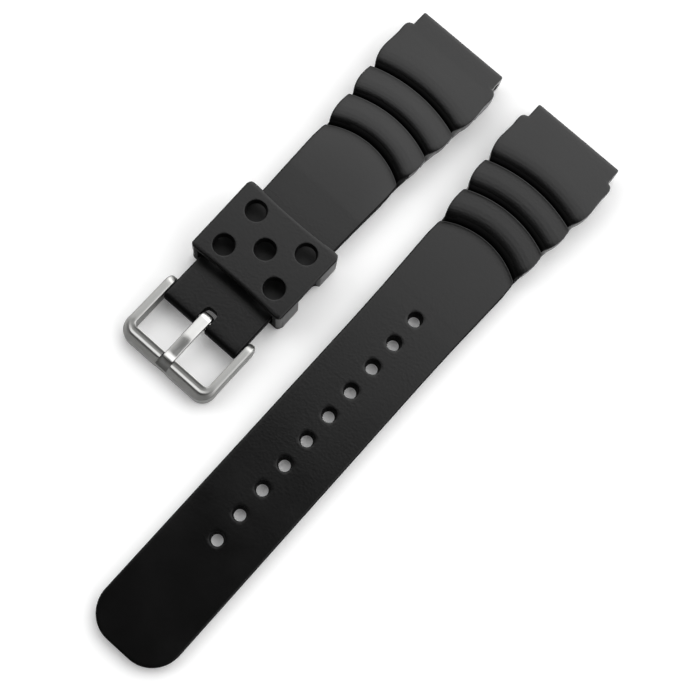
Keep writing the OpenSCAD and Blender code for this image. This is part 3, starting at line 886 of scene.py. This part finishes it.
# %% [markdown]
# ## The buckle frame
# The frame is one bar of steel that was bent into a U and pressed. Carrying a profile along the window's
# edge gives it: u counts outward from the window and z up. On the arms the profile is a block with a gently
# crowned top. On the crossbar it has a wide inner bevel, a bright rim and a front that slopes outward. The
# corners blend one into the other. At the arms' tips the profile shrinks as the cosine of an angle, which
# rounds them. A notch in the bar's middle, with a floor that falls a little outward, takes the tongue's
# tip, and the front is dented a little below it.

# %% Profiles of the frame
ARM_W = 1.8
FRAME_H = 4.25
ARM_CORNERS = ((0, 0), (0, 2.2), (0, 4.05), (0.3, 4.18), (0.7, FRAME_H), (1.15, FRAME_H), (1.5, 4.19),
    (ARM_W, 3.93), (ARM_W, 0))
ARM_RADII = (0.25, 0.3, 0.1, 0.12, 0.15, 0.15, 0.12, 0.12, 0.25)
BAR_CORNERS = ((0, 0), (0, 2.2), (0, 4.18), (0.45, 4.08), (1.0, 4.03), (1.58, 4.11), (1.9, 3.96),
    (3.05, 2.88), (3.05, 0))
BAR_RADII = (0.25, 0.3, 0.1, 0.15, 0.15, 0.12, 0.2, 0.15, 0.25)


def rounded_profile(corners, radii, count=6):
    """Points of a closed profile: each corner (u, z) becomes a quadratic arc that starts and ends r away.

    The arc from a over the corner c to b is (1 - t)^2 a + 2 t (1 - t) c + t^2 b.
    """
    c = np.array(corners, float)
    r = np.array(radii, float)[:, None]
    to_last = np.roll(c, 1, axis=0) - c
    to_next = np.roll(c, -1, axis=0) - c
    a = c + to_last / np.linalg.norm(to_last, axis=1, keepdims=True) * r
    b = c + to_next / np.linalg.norm(to_next, axis=1, keepdims=True) * r
    t = np.linspace(0, 1, count)[None, :, None]
    arc = (1 - t) ** 2 * a[:, None] + 2 * t * (1 - t) * c[:, None] + t ** 2 * b[:, None]
    return arc.reshape(-1, 2)


arm_profile = rounded_profile(ARM_CORNERS, ARM_RADII)
bar_profile = rounded_profile(BAR_CORNERS, BAR_RADII)
print("frame profiles:", len(arm_profile), "points each")

# %% Path of the frame
ARM_IN = 9.9
BAR_IN = 91.9
WINDOW_R = 1.0
ARM_TIP = 78.7
TIP_RADIUS = 2.0
ARM_ROWS_FROM = 81.2
TURN_FROM = 89.0
TURN_EARLY = 0.12
NOTCH_HALF = 1.45
NOTCH_ROWS = np.array([0.16, 0.1, 0.02, -0.02, -0.12])
BAR_ROWS_TO = 1.7
MIDDLE_ROW = 0.7


def frame_path():
    """The window's edge: points, outward directions, the tip's shrinking and the blend to the bar's profile.

    The corner is a quarter circle. The blend starts along the arm's end and grows with the corner's angle.
    """
    tip = np.linspace(np.pi / 2, 0, 12)
    corner = np.linspace(0, np.pi / 2, 13)[1:]
    to_corner = BAR_IN - WINDOW_R
    tip_s = ARM_TIP + TIP_RADIUS * (1 - np.sin(tip))
    arm_s = np.concatenate([tip_s, np.linspace(ARM_ROWS_FROM, to_corner, 18)])
    across = np.concatenate([np.linspace(ARM_IN - WINDOW_R, BAR_ROWS_TO, 18)[1:], NOTCH_HALF + NOTCH_ROWS,
        [MIDDLE_ROW, 0]])
    x = np.concatenate([0 * arm_s + ARM_IN, ARM_IN - WINDOW_R + WINDOW_R * np.cos(corner), across])
    s = np.concatenate([arm_s, to_corner + WINDOW_R * np.sin(corner), 0 * across + BAR_IN])
    nx = np.concatenate([0 * arm_s + 1, np.cos(corner), 0 * across])
    ns = np.concatenate([0 * arm_s, np.sin(corner), 0 * across + 1])
    shrink = np.concatenate([np.cos(tip), 0 * x[len(tip):] + 1])
    turned = np.concatenate([np.interp(arm_s, [TURN_FROM, to_corner], [0, TURN_EARLY]),
        TURN_EARLY + (1 - TURN_EARLY) * (corner / (np.pi / 2)), 0 * across + 1])
    return x, s, nx, ns, shrink, turned


frame_edge = frame_path()
print("frame path:", len(frame_edge[0]), "points a side")

# %% Buckle frame
TIP_U = 0.5
NOTCH_Z = 3.45
NOTCH_FALL = 0.11
NOTCH_SIDE = 0.02
DENT = 0.12
DENT_HALF = 1.9
DENT_SIDE = 0.6
DENT_FROM_U = 1.5
DENT_RUN_U = 0.5
ARM_BORE_R = 0.5
ARM_BORE_X = (ARM_IN - 1, ARM_IN + 1.3)
FRAME_SHARP = 30


def frame_grid():
    """The right half of the U from its path, then the left half as its mirror image, in one run of rows.

    The profile is (1 - b) * arm + b * bar, with b = 3 t^2 - 2 t^3 of the blend. At the tips, u shrinks with
    the cosine's root and z with the cosine. The notch cuts z at its floor, and the dent draws u in.
    """
    x, s, nx, ns, shrink, turned = (row[:, None] for row in frame_edge)
    blend = turned * turned * (3 - 2 * turned)
    u = (1 - blend) * arm_profile[:, 0] + blend * bar_profile[:, 0]
    z = (1 - blend) * arm_profile[:, 1] + blend * bar_profile[:, 1]
    u = TIP_U + (u - TIP_U) * np.sqrt(shrink)
    z = FRAME_H / 2 + (z - FRAME_H / 2) * shrink
    on_bar = ns > 0.99
    in_notch = np.clip((NOTCH_HALF + NOTCH_SIDE - np.abs(x)) / (2 * NOTCH_SIDE), 0, 1) * on_bar
    floor = NOTCH_Z - NOTCH_FALL * np.clip(u, 0, None)
    z = np.where(z > floor, (1 - in_notch) * z + in_notch * floor, z)
    dent = DENT * np.clip((DENT_HALF - np.abs(x)) / DENT_SIDE, 0, 1) * on_bar
    u = u - dent * np.clip((u - DENT_FROM_U) / DENT_RUN_U, 0, 1)
    right = np.stack([x + u * nx, s + u * ns, z], axis=-1)
    left = right[-2::-1] * [-1, 1, 1]
    return np.concatenate([right, left])


frame_rows = frame_grid()
frame_faces = grid_faces(*frame_rows.shape[:2], wrap_cols=True)
frame_piece = make_piece("buckle_frame_steel", [(frame_rows, frame_faces)], True, FRAME_SHARP)
for side in (-1, 1):
    cut(frame_piece, circle(PIN, ARM_BORE_R, 24), *sorted(side * reach for reach in ARM_BORE_X), 0, True)
finish_mesh(frame_piece.data, FRAME_SHARP)
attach(frame_piece, "frame")
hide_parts("buckle_frame")

# %% [markdown]
# ## The tongue
# The tongue is a strip of steel curled round the spring bar. Its middle line is a circle about the bar, a
# stretch that rises a little, a slope down, a shallow run into the frame's notch and a short tip that turns
# up, with a rounded bend at each knee. A rounded strip profile, crowned on top, is carried along that line:
# a point at height n over the line lies n along the line's normal.

# %% Middle line of the tongue
TONGUE_T = 0.9
CURL_BORE_R = 0.9
CURL_R = CURL_BORE_R + TONGUE_T / 2
CURL_FROM = 64
TONGUE_END = 92.8
TIP_GAP = 0.05
TIP_Z = NOTCH_Z + TIP_GAP + TONGUE_T / 2
CURL_TOP = PIN[1] + CURL_R
KNEES = np.array([[81.9, CURL_TOP], [86.8, CURL_TOP + 0.22], [89.0, TIP_Z + 0.19], [91.3, TIP_Z],
    [TONGUE_END, TIP_Z + 0.16]])
KNEE_REACHES = (0.5, 0.9, 0.4)
TIP_ROWS_AT = np.array([91.85, 92.1, 92.4, 92.5, 92.6, 92.7, 92.77, TONGUE_END])


def tongue_line():
    """The middle line in (s, z): most of a circle, then straight runs between the knees.

    Each knee is rounded within its reach: the new slope is blended in as reach * (change of slope) * t^2.
    """
    curl = np.radians(np.linspace(CURL_FROM, 360, 56))
    s = [PIN[0] + CURL_R * np.sin(curl)]
    z = [PIN[1] + CURL_R * np.cos(curl)]
    slopes = np.diff(KNEES[:, 1]) / np.diff(KNEES[:, 0])
    t = np.linspace(0, 1, 9)
    for (knee_s, knee_z), before, after, reach in zip(KNEES[1:4], slopes, slopes[1:], KNEE_REACHES):
        run = knee_s - reach + 2 * reach * t
        blend = reach * (after - before) * t ** 2
        s += [np.linspace(s[-1][-1], run[0], 7)[1:-1], run]
        z += [knee_z + before * (s[-2] - knee_s), knee_z + before * (run - knee_s) + blend]
    s += [TIP_ROWS_AT]
    z += [TIP_Z + slopes[3] * (TIP_ROWS_AT - KNEES[3, 0])]
    return np.concatenate(s), np.concatenate(z)


line_s, line_z = tongue_line()
print("tongue line:", len(line_s), "points, highest", round(line_z.max() + TONGUE_T / 2, 2), "mm")

# %% Tongue
TONGUE_HALF = 1.3
CROWN_HALF = 0.96
CROWN = 0.1
STRIP_R = 0.34
STRIP_LOW_R = 0.2
TONGUE_ROUND = 0.4
TIP_WIDTH = 0.55
TIP_THICK = 0.6
TONGUE_SHARP = 50


def strip_profile():
    """The strip's section, across x and height n: a crown of drop * (x / half)^2 and four quarter circles."""
    top = np.linspace(-CROWN_HALF, CROWN_HALF, 13)
    crown = TONGUE_T / 2 - CROWN * (top / CROWN_HALF) ** 2
    quarter = np.linspace(0, np.pi / 2, 7)
    fall, rise = 1 - np.cos(quarter), 1 - np.sin(quarter)
    right_x = np.concatenate([TONGUE_HALF - STRIP_R * rise, TONGUE_HALF - STRIP_LOW_R * fall])
    right_n = np.concatenate([TONGUE_T / 2 - CROWN - STRIP_R * fall, -TONGUE_T / 2 + STRIP_LOW_R * rise])
    return np.concatenate([top, right_x, -right_x[::-1]]), np.concatenate([crown, right_n, right_n[::-1]])


def tongue_grid():
    """The strip carried along the line; at the tip its width and thickness draw in along a quarter circle."""
    ds, dz = np.gradient(line_s), np.gradient(line_z)
    size = np.hypot(ds, dz)
    normal_s, normal_z = (-dz / size)[:, None], (ds / size)[:, None]
    x, n = strip_profile()
    left = np.clip((TONGUE_END - line_s) / TONGUE_ROUND, 0, 1)
    past = np.sqrt(1 - (1 - left) ** 2)[:, None]
    width = TIP_WIDTH + (1 - TIP_WIDTH) * past
    height = n * (TIP_THICK + (1 - TIP_THICK) * past)
    s, z = line_s[:, None] + height * normal_s, line_z[:, None] + height * normal_z
    return np.stack([x * width, s, z], axis=-1)


def fold_end(row):
    """Closes an end row by joining its points in facing pairs."""
    count = len(row) // 2
    return np.stack([row[:count], row[:count - 1:-1][:count]])


tongue_rows = tongue_grid()
shifted = np.roll(tongue_rows, 7, axis=1)
ends = [fold_end(shifted[0]), fold_end(shifted[-1])]
tongue_faces = grid_faces(*tongue_rows.shape[:2], wrap_cols=True)
tongue_ends = [(end, grid_faces(*end.shape[:2])) for end in ends]
tongue = make_piece("buckle_tongue_steel", [(tongue_rows, tongue_faces)] + tongue_ends, True, TONGUE_SHARP)
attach(tongue, "tongue")
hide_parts("buckle_tongue")

# %% [markdown]
# ## Materials from nodes
# One function turns an sRGB hex colour into the linear numbers that shaders use, and one adds a node with
# its settings and its links. Patterns read Object coordinates, which are metres here, so a grain of 0.25 mm
# needs a noise scale of 1 / 0.00025.

# %% Node helpers
def linear(hex_colour):
    """sRGB hex to linear RGBA: c / 12.92 below 0.04045, else ((c + 0.055) / 1.055) to the power 2.4."""
    c = np.array([int(hex_colour[i:i + 2], 16) for i in (1, 3, 5)]) / 255
    low = c / 12.92
    high = ((c + 0.055) / 1.055) ** 2.4
    return (*np.where(c <= 0.04045, low, high).tolist(), 1.0)


def add(tree, kind, inputs=None, **settings):
    """Adds a node; inputs maps a socket's name or number to a value or to another node's output."""
    made = tree.nodes.new(kind)
    for key, value in settings.items():
        setattr(made, key, value)
    for key, value in (inputs or {}).items():
        if isinstance(value, bpy.types.NodeSocket):
            tree.links.new(value, made.inputs[key])
        else:
            made.inputs[key].default_value = value
    return made


def new_material(name):
    """An empty node material and the output that its shader goes to."""
    material = bpy.data.materials.new(name)
    material.use_nodes = True
    material.node_tree.nodes.clear()
    return material, material.node_tree, add(material.node_tree, "ShaderNodeOutputMaterial")


def wear(piece, material, *patches):
    """Gives the piece a material. Each patch is a further material and a function that picks its faces.

    The function takes the faces' middles in mm and their normals, as three rows of numbers each.
    """
    mesh = piece.data
    mesh.materials.clear()
    mesh.materials.append(material)
    if patches:
        middle, normal = (np.zeros(3 * len(mesh.polygons)) for _ in range(2))
        mesh.polygons.foreach_get("center", middle)
        mesh.polygons.foreach_get("normal", normal)
        middle, normal = middle.reshape(-1, 3).T / MM, normal.reshape(-1, 3).T
        slots = np.zeros(len(mesh.polygons), np.int32)
        for slot, (patch, picks) in enumerate(patches, 1):
            mesh.materials.append(patch)
            slots[picks(middle, normal)] = slot
        mesh.polygons.foreach_set("material_index", slots)
    print(piece.name, "wears", ", ".join(m.name for m in mesh.materials))


print("mid grey #808080 is", round(linear("#808080")[0], 3), "in linear light")

# %% [markdown]
# ## Black moulded resin
# The strap is injection-moulded polyurethane resin. Its mould was blasted with fine grit, so the skin has a
# satin grain. The real grain is finer than a pixel, so it is drawn a quarter of a millimetre wide. The
# colour is nearly black: what the eye sees is the soft reflection of the room, spread by the grain.
# Handling has polished some areas a little, so roughness drifts over about 12 mm. Under the keeper and
# beyond it the short half is rubbed duller. A mould's upright and falling walls are blasted coarser and
# come out matt. A second material on those faces, plainer than a texture, also gives them a darker colour
# and a low index, so they mirror almost nothing and stay darker than the level skin: that is painted shade.

# %% Resin
NOISE_LOW = 0.3
NOISE_HIGH = 0.7
DRIFT = 12 * MM
PIT_GRAINS = 2.2
GRAIN_LIFT = 0.22
GRAIN_DEPTH = 0.03 * MM
RUB_Y = ((SHORT_TOP - 51) * MM, (SHORT_TOP - 76.5) * MM)
RUB_RUN = 6 * MM


def moulded_resin(name, dark, pale, rough_low, rough_high, grain_mm, ior=1.45, rub=0.0):
    """Satin black resin: grit-blasted grain as bump, slow drifts in colour and roughness.

    Nearly all of a noise lies between NOISE_LOW and NOISE_HIGH, which become the two roughnesses.
    Where the keeper sits, rub is added: it grows in over RUB_RUN along Y and fades out again.
    """
    material, tree, out = new_material(name)
    place = add(tree, "ShaderNodeTexCoord").outputs["Object"]
    drift = add(tree, "ShaderNodeTexNoise", {"Vector": place, "Scale": 1 / DRIFT, "Detail": 3.0,
        "Roughness": 0.55}).outputs["Fac"]
    grain = add(tree, "ShaderNodeTexNoise", {"Vector": place, "Scale": 1000 / grain_mm, "Detail": 2.0,
        "Roughness": 0.6})
    pits = add(tree, "ShaderNodeTexVoronoi", {"Vector": place, "Scale": 1000 / (PIT_GRAINS * grain_mm)})
    tone = add(tree, "ShaderNodeMix", {0: drift, 6: linear(dark), 7: linear(pale)}, data_type="RGBA")
    rough = add(tree, "ShaderNodeMapRange", {"Value": drift, "From Min": NOISE_LOW,
        "From Max": NOISE_HIGH, "To Min": rough_low, "To Max": rough_high}).outputs[0]
    if rub:
        along = add(tree, "ShaderNodeSeparateXYZ", {0: place}).outputs["Y"]
        ramps = [add(tree, "ShaderNodeMapRange", {"Value": along, "From Min": near, "From Max": near + run,
            "To Min": 0.0, "To Max": rub}).outputs[0] for near, run in zip(RUB_Y, (-RUB_RUN, RUB_RUN))]
        least = add(tree, "ShaderNodeMath", dict(enumerate(ramps)), operation="MINIMUM").outputs[0]
        rough = add(tree, "ShaderNodeMath", {0: rough, 1: least}, operation="ADD").outputs[0]
    height = add(tree, "ShaderNodeMath", {0: grain.outputs["Fac"], 1: pits.outputs["Distance"]},
        operation="ADD")
    bump = add(tree, "ShaderNodeBump", {"Height": height.outputs[0], "Strength": GRAIN_LIFT,
        "Distance": GRAIN_DEPTH})
    shader = add(tree, "ShaderNodeBsdfPrincipled", {"Base Color": tone.outputs[2], "Roughness": rough,
        "Normal": bump.outputs[0], "IOR": ior})
    tree.links.new(shader.outputs[0], out.inputs[0])
    return material


# Satin skin: a soft, wide reflection that keeps the waves' shapes readable.
strap_resin = moulded_resin("black_polyurethane_resin_satin", "#070707", "#0a0a0a", 0.18, 0.24, 0.25)
# The same skin where the keeper has rubbed it: the reflection spreads and turns darker.
rubbed_resin = moulded_resin("black_polyurethane_resin_rubbed", "#070707", "#0a0a0a", 0.18, 0.24, 0.25,
    rub=0.28)
# The keeper comes from its own mould: a trace paler, with a finer grain.
keeper_resin = moulded_resin("black_polyurethane_resin_keeper", "#0a0a0a", "#0d0d0d", 0.19, 0.25, 0.22)
# Matt walls: coarse blasting makes them rough, and a darker colour and low index keep them black as painted
# shade.
shaded_wall_resin = moulded_resin("black_polyurethane_resin_matt_walls_painted_shade", "#060606", "#080808", 0.7, 0.8, 0.25,
    ior=1.2)
# The keeper's outer sides lie between the two: they mirror the white sheet, but only faintly.
side_resin = moulded_resin("black_polyurethane_resin_keeper_sides", "#070707", "#0a0a0a", 0.3, 0.36, 0.22,
    ior=1.25)

# %% [markdown]
# ## Which faces are matt
# A face's normal tells how it stands: a level face has a z of 1, and at 30 degrees it has 0.87. Faces
# steeper than that wear the matt resin, and so do the crowns that fall toward a groove. The scalloped sides
# of the lug ends keep the satin skin, because many hands have rubbed over them, and the keeper's outer
# sides wear their own.

# %% Dressing the resin pieces
UPRIGHT = 0.87
WAVES_LEN = 31
SCALLOP_FROM = 9.4
SIDEWAYS = 0.5
FALLING = -0.3
KEEPER_SIDE = 11.4


def strap_walls(middle, normal):
    """Faces over 30 degrees steep and crowns over 17 degrees, but not the lug ends' scalloped sides."""
    in_waves = middle[1] > LONG_TOP - WAVES_LEN
    outside = in_waves & (np.abs(normal[0]) > SIDEWAYS) & (np.abs(np.abs(middle[0]) - HALF_X) > SCALLOP_FROM)
    crown = in_waves & (normal[1] < FALLING)
    return ((np.abs(normal[2]) < UPRIGHT) | crown) & ~outside


def keeper_walls(middle, normal):
    """The keeper's faces over 30 degrees steep: its ends, its vents' walls and the inside of its legs."""
    return (np.abs(normal[2]) < UPRIGHT) & (np.abs(middle[0] + HALF_X) < KEEPER_SIDE)


def keeper_sides(middle, normal):
    """The keeper's outer sides."""
    return (np.abs(normal[2]) < UPRIGHT) & (np.abs(middle[0] + HALF_X) >= KEEPER_SIDE)


# Steep faces and falling crowns wear the matt resin, whose darker colour and low index are painted shade.
wear(long_strap, strap_resin, (shaded_wall_resin, strap_walls))
wear(short_strap, rubbed_resin, (shaded_wall_resin, strap_walls))
wear(keeper, keeper_resin, (shaded_wall_resin, keeper_walls), (side_resin, keeper_sides))

# %% [markdown]
# ## Steel
# The buckle is stamped stainless steel, ground with a fine belt and then tumbled, so it has hair-fine lines
# along the bar and a soft sheen. The tongue is polished brighter. The spring bar's parts are drawn and
# turned steel with fine rings round their axis. All are bare metal, so metallic is 1 and the colour is the
# reflection's own tint. Real grinding lines are finer than a pixel, so they are drawn about 0.1 mm wide.
# On the frame and the tongue, faces that stand upright also get a darker colour: painted shade on the walls.

# %% Steels
STRETCH = 0.02
CLOUD = 4 * MM
LINE_DEPTH = 0.01 * MM
# Upright faces get painted shade, which fades out as the normal's z rises between these two levels.
SHADE_FULL_BELOW = 0.6
SHADE_NONE_ABOVE = 0.9


def steel(name, pale, deep, rough_low, rough_high, line_mm, lines_along, lift=0.12, wall=None):
    """Bare steel with fine grinding lines: a noise stretched fifty times along the lines' direction.

    With a wall colour, faces that stand upright get that darker colour: painted shade on the walls.
    """
    material, tree, out = new_material(name)
    coordinates = add(tree, "ShaderNodeTexCoord")
    place = coordinates.outputs["Object"]
    stretch = [1.0, 1.0, 1.0]
    stretch[lines_along] = STRETCH
    turned = add(tree, "ShaderNodeMapping", {"Vector": place, "Scale": stretch})
    lines = add(tree, "ShaderNodeTexNoise", {"Vector": turned.outputs[0], "Scale": 1000 / line_mm,
        "Detail": 3.0, "Roughness": 0.65}).outputs["Fac"]
    cloud = add(tree, "ShaderNodeTexNoise", {"Vector": place, "Scale": 1 / CLOUD, "Detail": 2.0})
    tone = add(tree, "ShaderNodeMix", {0: cloud.outputs["Fac"], 6: linear(deep), 7: linear(pale)},
        data_type="RGBA")
    colour = tone.outputs[2]
    # Upright faces fade to the wall colour, a painted shade; ground is the share of the full colour that is
    # left.
    if wall:
        facing = add(tree, "ShaderNodeSeparateXYZ", {0: coordinates.outputs["Normal"]})
        upward = add(tree, "ShaderNodeMath", {0: facing.outputs["Z"]}, operation="ABSOLUTE")
        ground = add(tree, "ShaderNodeMapRange", {"Value": upward.outputs[0], "From Min": SHADE_FULL_BELOW,
            "From Max": SHADE_NONE_ABOVE}).outputs[0]
        colour = add(tree, "ShaderNodeMix", {0: ground, 6: linear(wall), 7: colour},
            data_type="RGBA").outputs[2]
    rough = add(tree, "ShaderNodeMapRange", {"Value": lines, "From Min": NOISE_LOW,
        "From Max": NOISE_HIGH, "To Min": rough_low, "To Max": rough_high})
    bump = add(tree, "ShaderNodeBump", {"Height": lines, "Strength": lift, "Distance": LINE_DEPTH})
    shader = add(tree, "ShaderNodeBsdfPrincipled", {"Base Color": colour, "Metallic": 1.0,
        "Roughness": rough.outputs[0], "Normal": bump.outputs[0]})
    tree.links.new(shader.outputs[0], out.inputs[0])
    return material


# Belt-ground and tumbled: a broad, silky sheen on the rim, and a darker grey painted on the walls as shade.
wear(frame_piece, steel("stainless_steel_belt_ground_painted_wall_shade", "#c4c4c2", "#b9b9b7", 0.34, 0.44, 0.09, 0,
    wall="#7c7c7a"))
# Polished: bright where it faces the far wall, dark where it slopes to the eye; painted shade on upright
# edges.
wear(tongue, steel("stainless_steel_polished_painted_wall_shade", "#e6e6e4", "#dcdcda", 0.28, 0.38, 0.12, 1, 0.06,
    wall="#8e8e8c"))
# Drawn tube, turned tips and drawn wire: small bright glints with fine rings.
wear(nodes["spring_bar_tube"], steel("drawn_steel_tube", "#c4c4c2", "#b6b6b4", 0.22, 0.34, 0.1, 0))
turned_tips = steel("turned_steel_tips", "#bfc0c0", "#b0b1b1", 0.2, 0.3, 0.08, 2)
for tip in ("spring_bar_plunger_left", "spring_bar_plunger_right"):
    wear(nodes[tip], turned_tips)
wear(nodes["spring_bar_spring"], steel("music_wire_spring", "#b9bab9", "#a5a6a5", 0.25, 0.4, 0.06, 0))

# %% [markdown]
# ## The sheet
# The strap lies on a white sheet of paper. It is a pale diffuse white, so it takes the object's shadow. A
# little glow, seen only by camera, glossy and transmission rays, lifts it to the picture's white. A
# brighter lamp could do that too, but it would bleach the strap.

# %% Sheet
GLOW = 0.1
FIBRE = 0.6 * MM
SHEET_HALF = 6.0


def sheet_material():
    """Pale matt paper; Light Path lets camera, glossy and transmission rays see a small extra glow."""
    material, tree, out = new_material("white_paper_sheet")
    place = add(tree, "ShaderNodeTexCoord").outputs["Object"]
    fibre = add(tree, "ShaderNodeTexNoise", {"Vector": place, "Scale": 1 / FIBRE, "Detail": 3.0})
    tone = add(tree, "ShaderNodeMix", {0: fibre.outputs["Fac"], 6: linear("#f9f9f9"), 7: linear("#fdfdfd")},
        data_type="RGBA")
    paper = add(tree, "ShaderNodeBsdfDiffuse", {"Color": tone.outputs[2]})
    path = add(tree, "ShaderNodeLightPath")
    seen = path.outputs["Is Camera Ray"]
    for ray in ("Is Glossy Ray", "Is Transmission Ray"):
        seen = add(tree, "ShaderNodeMath", {0: seen, 1: path.outputs[ray]}, operation="ADD").outputs[0]
    glow_level = add(tree, "ShaderNodeMath", {0: seen, 1: GLOW}, operation="MULTIPLY")
    glow = add(tree, "ShaderNodeEmission", {"Strength": glow_level.outputs[0]})
    both = add(tree, "ShaderNodeAddShader", {0: paper.outputs[0], 1: glow.outputs[0]})
    tree.links.new(both.outputs[0], out.inputs[0])
    return material


sheet_mesh = bpy.data.meshes.new("sheet")
corners = SHEET_HALF * np.array([(-1, -1, 0), (1, -1, 0), (1, 1, 0), (-1, 1, 0)])
sheet_mesh.from_pydata(corners.tolist(), [], [(0, 1, 2, 3)])
sheet = put("sheet", sheet_mesh)
sheet_mesh.materials.append(sheet_material())
sheet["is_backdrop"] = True
print("sheet:", 2 * SHEET_HALF, "m wide")

# %% [markdown]
# ## Room and soft panel
# Light comes from all round and from a soft panel at the front left, which gives the shadows. Straight
# above, round the camera, the room is dark: that is why the tail, which mirrors the zenith, looks darker
# than the lug ends, which mirror the bright far wall. The near wall and the left wall are dimmer than the
# right one, so the bar's front and the edges that face left turn grey. The panel isn't mirrored in the
# pieces, because its image would draw light lines into the grooves.

# %% Room and soft panel
CAP_CENTRE = (0.0, -0.4695, 0.8829)
CAP_EDGE = (0.829, 0.722)
WALL_NEAR = 0.42
WALL_SIDE = 1.26
WALL_FAR = 2.5
WALL_LEFT = 0.55
NEAR_EDGE = (-0.6, 0.0)
FAR_EDGE = (0.2, 0.55)
LEFT_EDGE = (-0.75, -0.25)
PANEL_PLACE = (-0.68, -0.26, 0.6)
PANEL_SIZE = 0.8
PANEL_WATTS = 3.2


def brightness_along(tree, way, toward, edge, levels):
    """Brightness that goes smoothly between two levels as the cosine to a direction passes the edge."""
    cosine = add(tree, "ShaderNodeVectorMath", {0: way, 1: toward},
        operation="DOT_PRODUCT").outputs["Value"]
    return add(tree, "ShaderNodeMapRange", {"Value": cosine, "From Min": edge[0], "From Max": edge[1],
        "To Min": levels[0], "To Max": levels[1]}, interpolation_type="SMOOTHSTEP").outputs[0]


def room():
    """The world's brightness: cap * left * (side + more), each a smooth step along one direction."""
    world = bpy.data.worlds.new("studio_room")
    bpy.context.scene.world = world
    world.use_nodes = True
    tree = world.node_tree
    tree.nodes.clear()
    way = add(tree, "ShaderNodeTexCoord").outputs["Generated"]
    cap = brightness_along(tree, way, CAP_CENTRE, CAP_EDGE, (0.0, 1.0))
    side = brightness_along(tree, way, (0, 1, 0), NEAR_EDGE, (WALL_NEAR, WALL_SIDE))
    more = brightness_along(tree, way, (0, 1, 0), FAR_EDGE, (0.0, WALL_FAR - WALL_SIDE))
    left = brightness_along(tree, way, (1, 0, 0), LEFT_EDGE, (WALL_LEFT, 1.0))
    wall = add(tree, "ShaderNodeMath", {0: side, 1: more}, operation="ADD").outputs[0]
    lit = add(tree, "ShaderNodeMath", {0: left, 1: wall}, operation="MULTIPLY").outputs[0]
    level = add(tree, "ShaderNodeMath", {0: cap, 1: lit}, operation="MULTIPLY").outputs[0]
    sky = add(tree, "ShaderNodeBackground", {"Color": (1, 1, 1, 1), "Strength": level})
    add(tree, "ShaderNodeOutputWorld", {0: sky.outputs[0]})


def soft_panel(name, place, size, watts):
    """A square area lamp that faces the origin and isn't mirrored in the pieces."""
    lamp = bpy.data.lights.new(name, "AREA")
    lamp.shape = "SQUARE"
    lamp.size = size
    lamp.energy = watts
    panel = put(name, lamp)
    look = (-Vector(place)).to_track_quat("-Z", "Y")
    panel.matrix_world = Matrix.Translation(place) @ look.to_matrix().to_4x4()
    panel.visible_glossy = False


room()
soft_panel("front_left_panel", PANEL_PLACE, PANEL_SIZE, PANEL_WATTS)
bpy.context.scene.view_settings.view_transform = "Standard"
print("room:", WALL_NEAR, "near,", WALL_SIDE, "beside,", WALL_FAR, "far; panel", PANEL_WATTS, "W")

# %% [markdown]
# ## Sizes
# The finer surfaces have to stay in the CAD model's box, so both boxes are measured and their spans printed.

# %% Sizes
boxes = {"cad": [list(v) for v in cad_box], "visual": [list(v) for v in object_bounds()]}
spans = {key: np.round(1000 * np.subtract(high, low), 2).tolist() for key, (low, high) in boxes.items()}
print("box in mm:", spans)
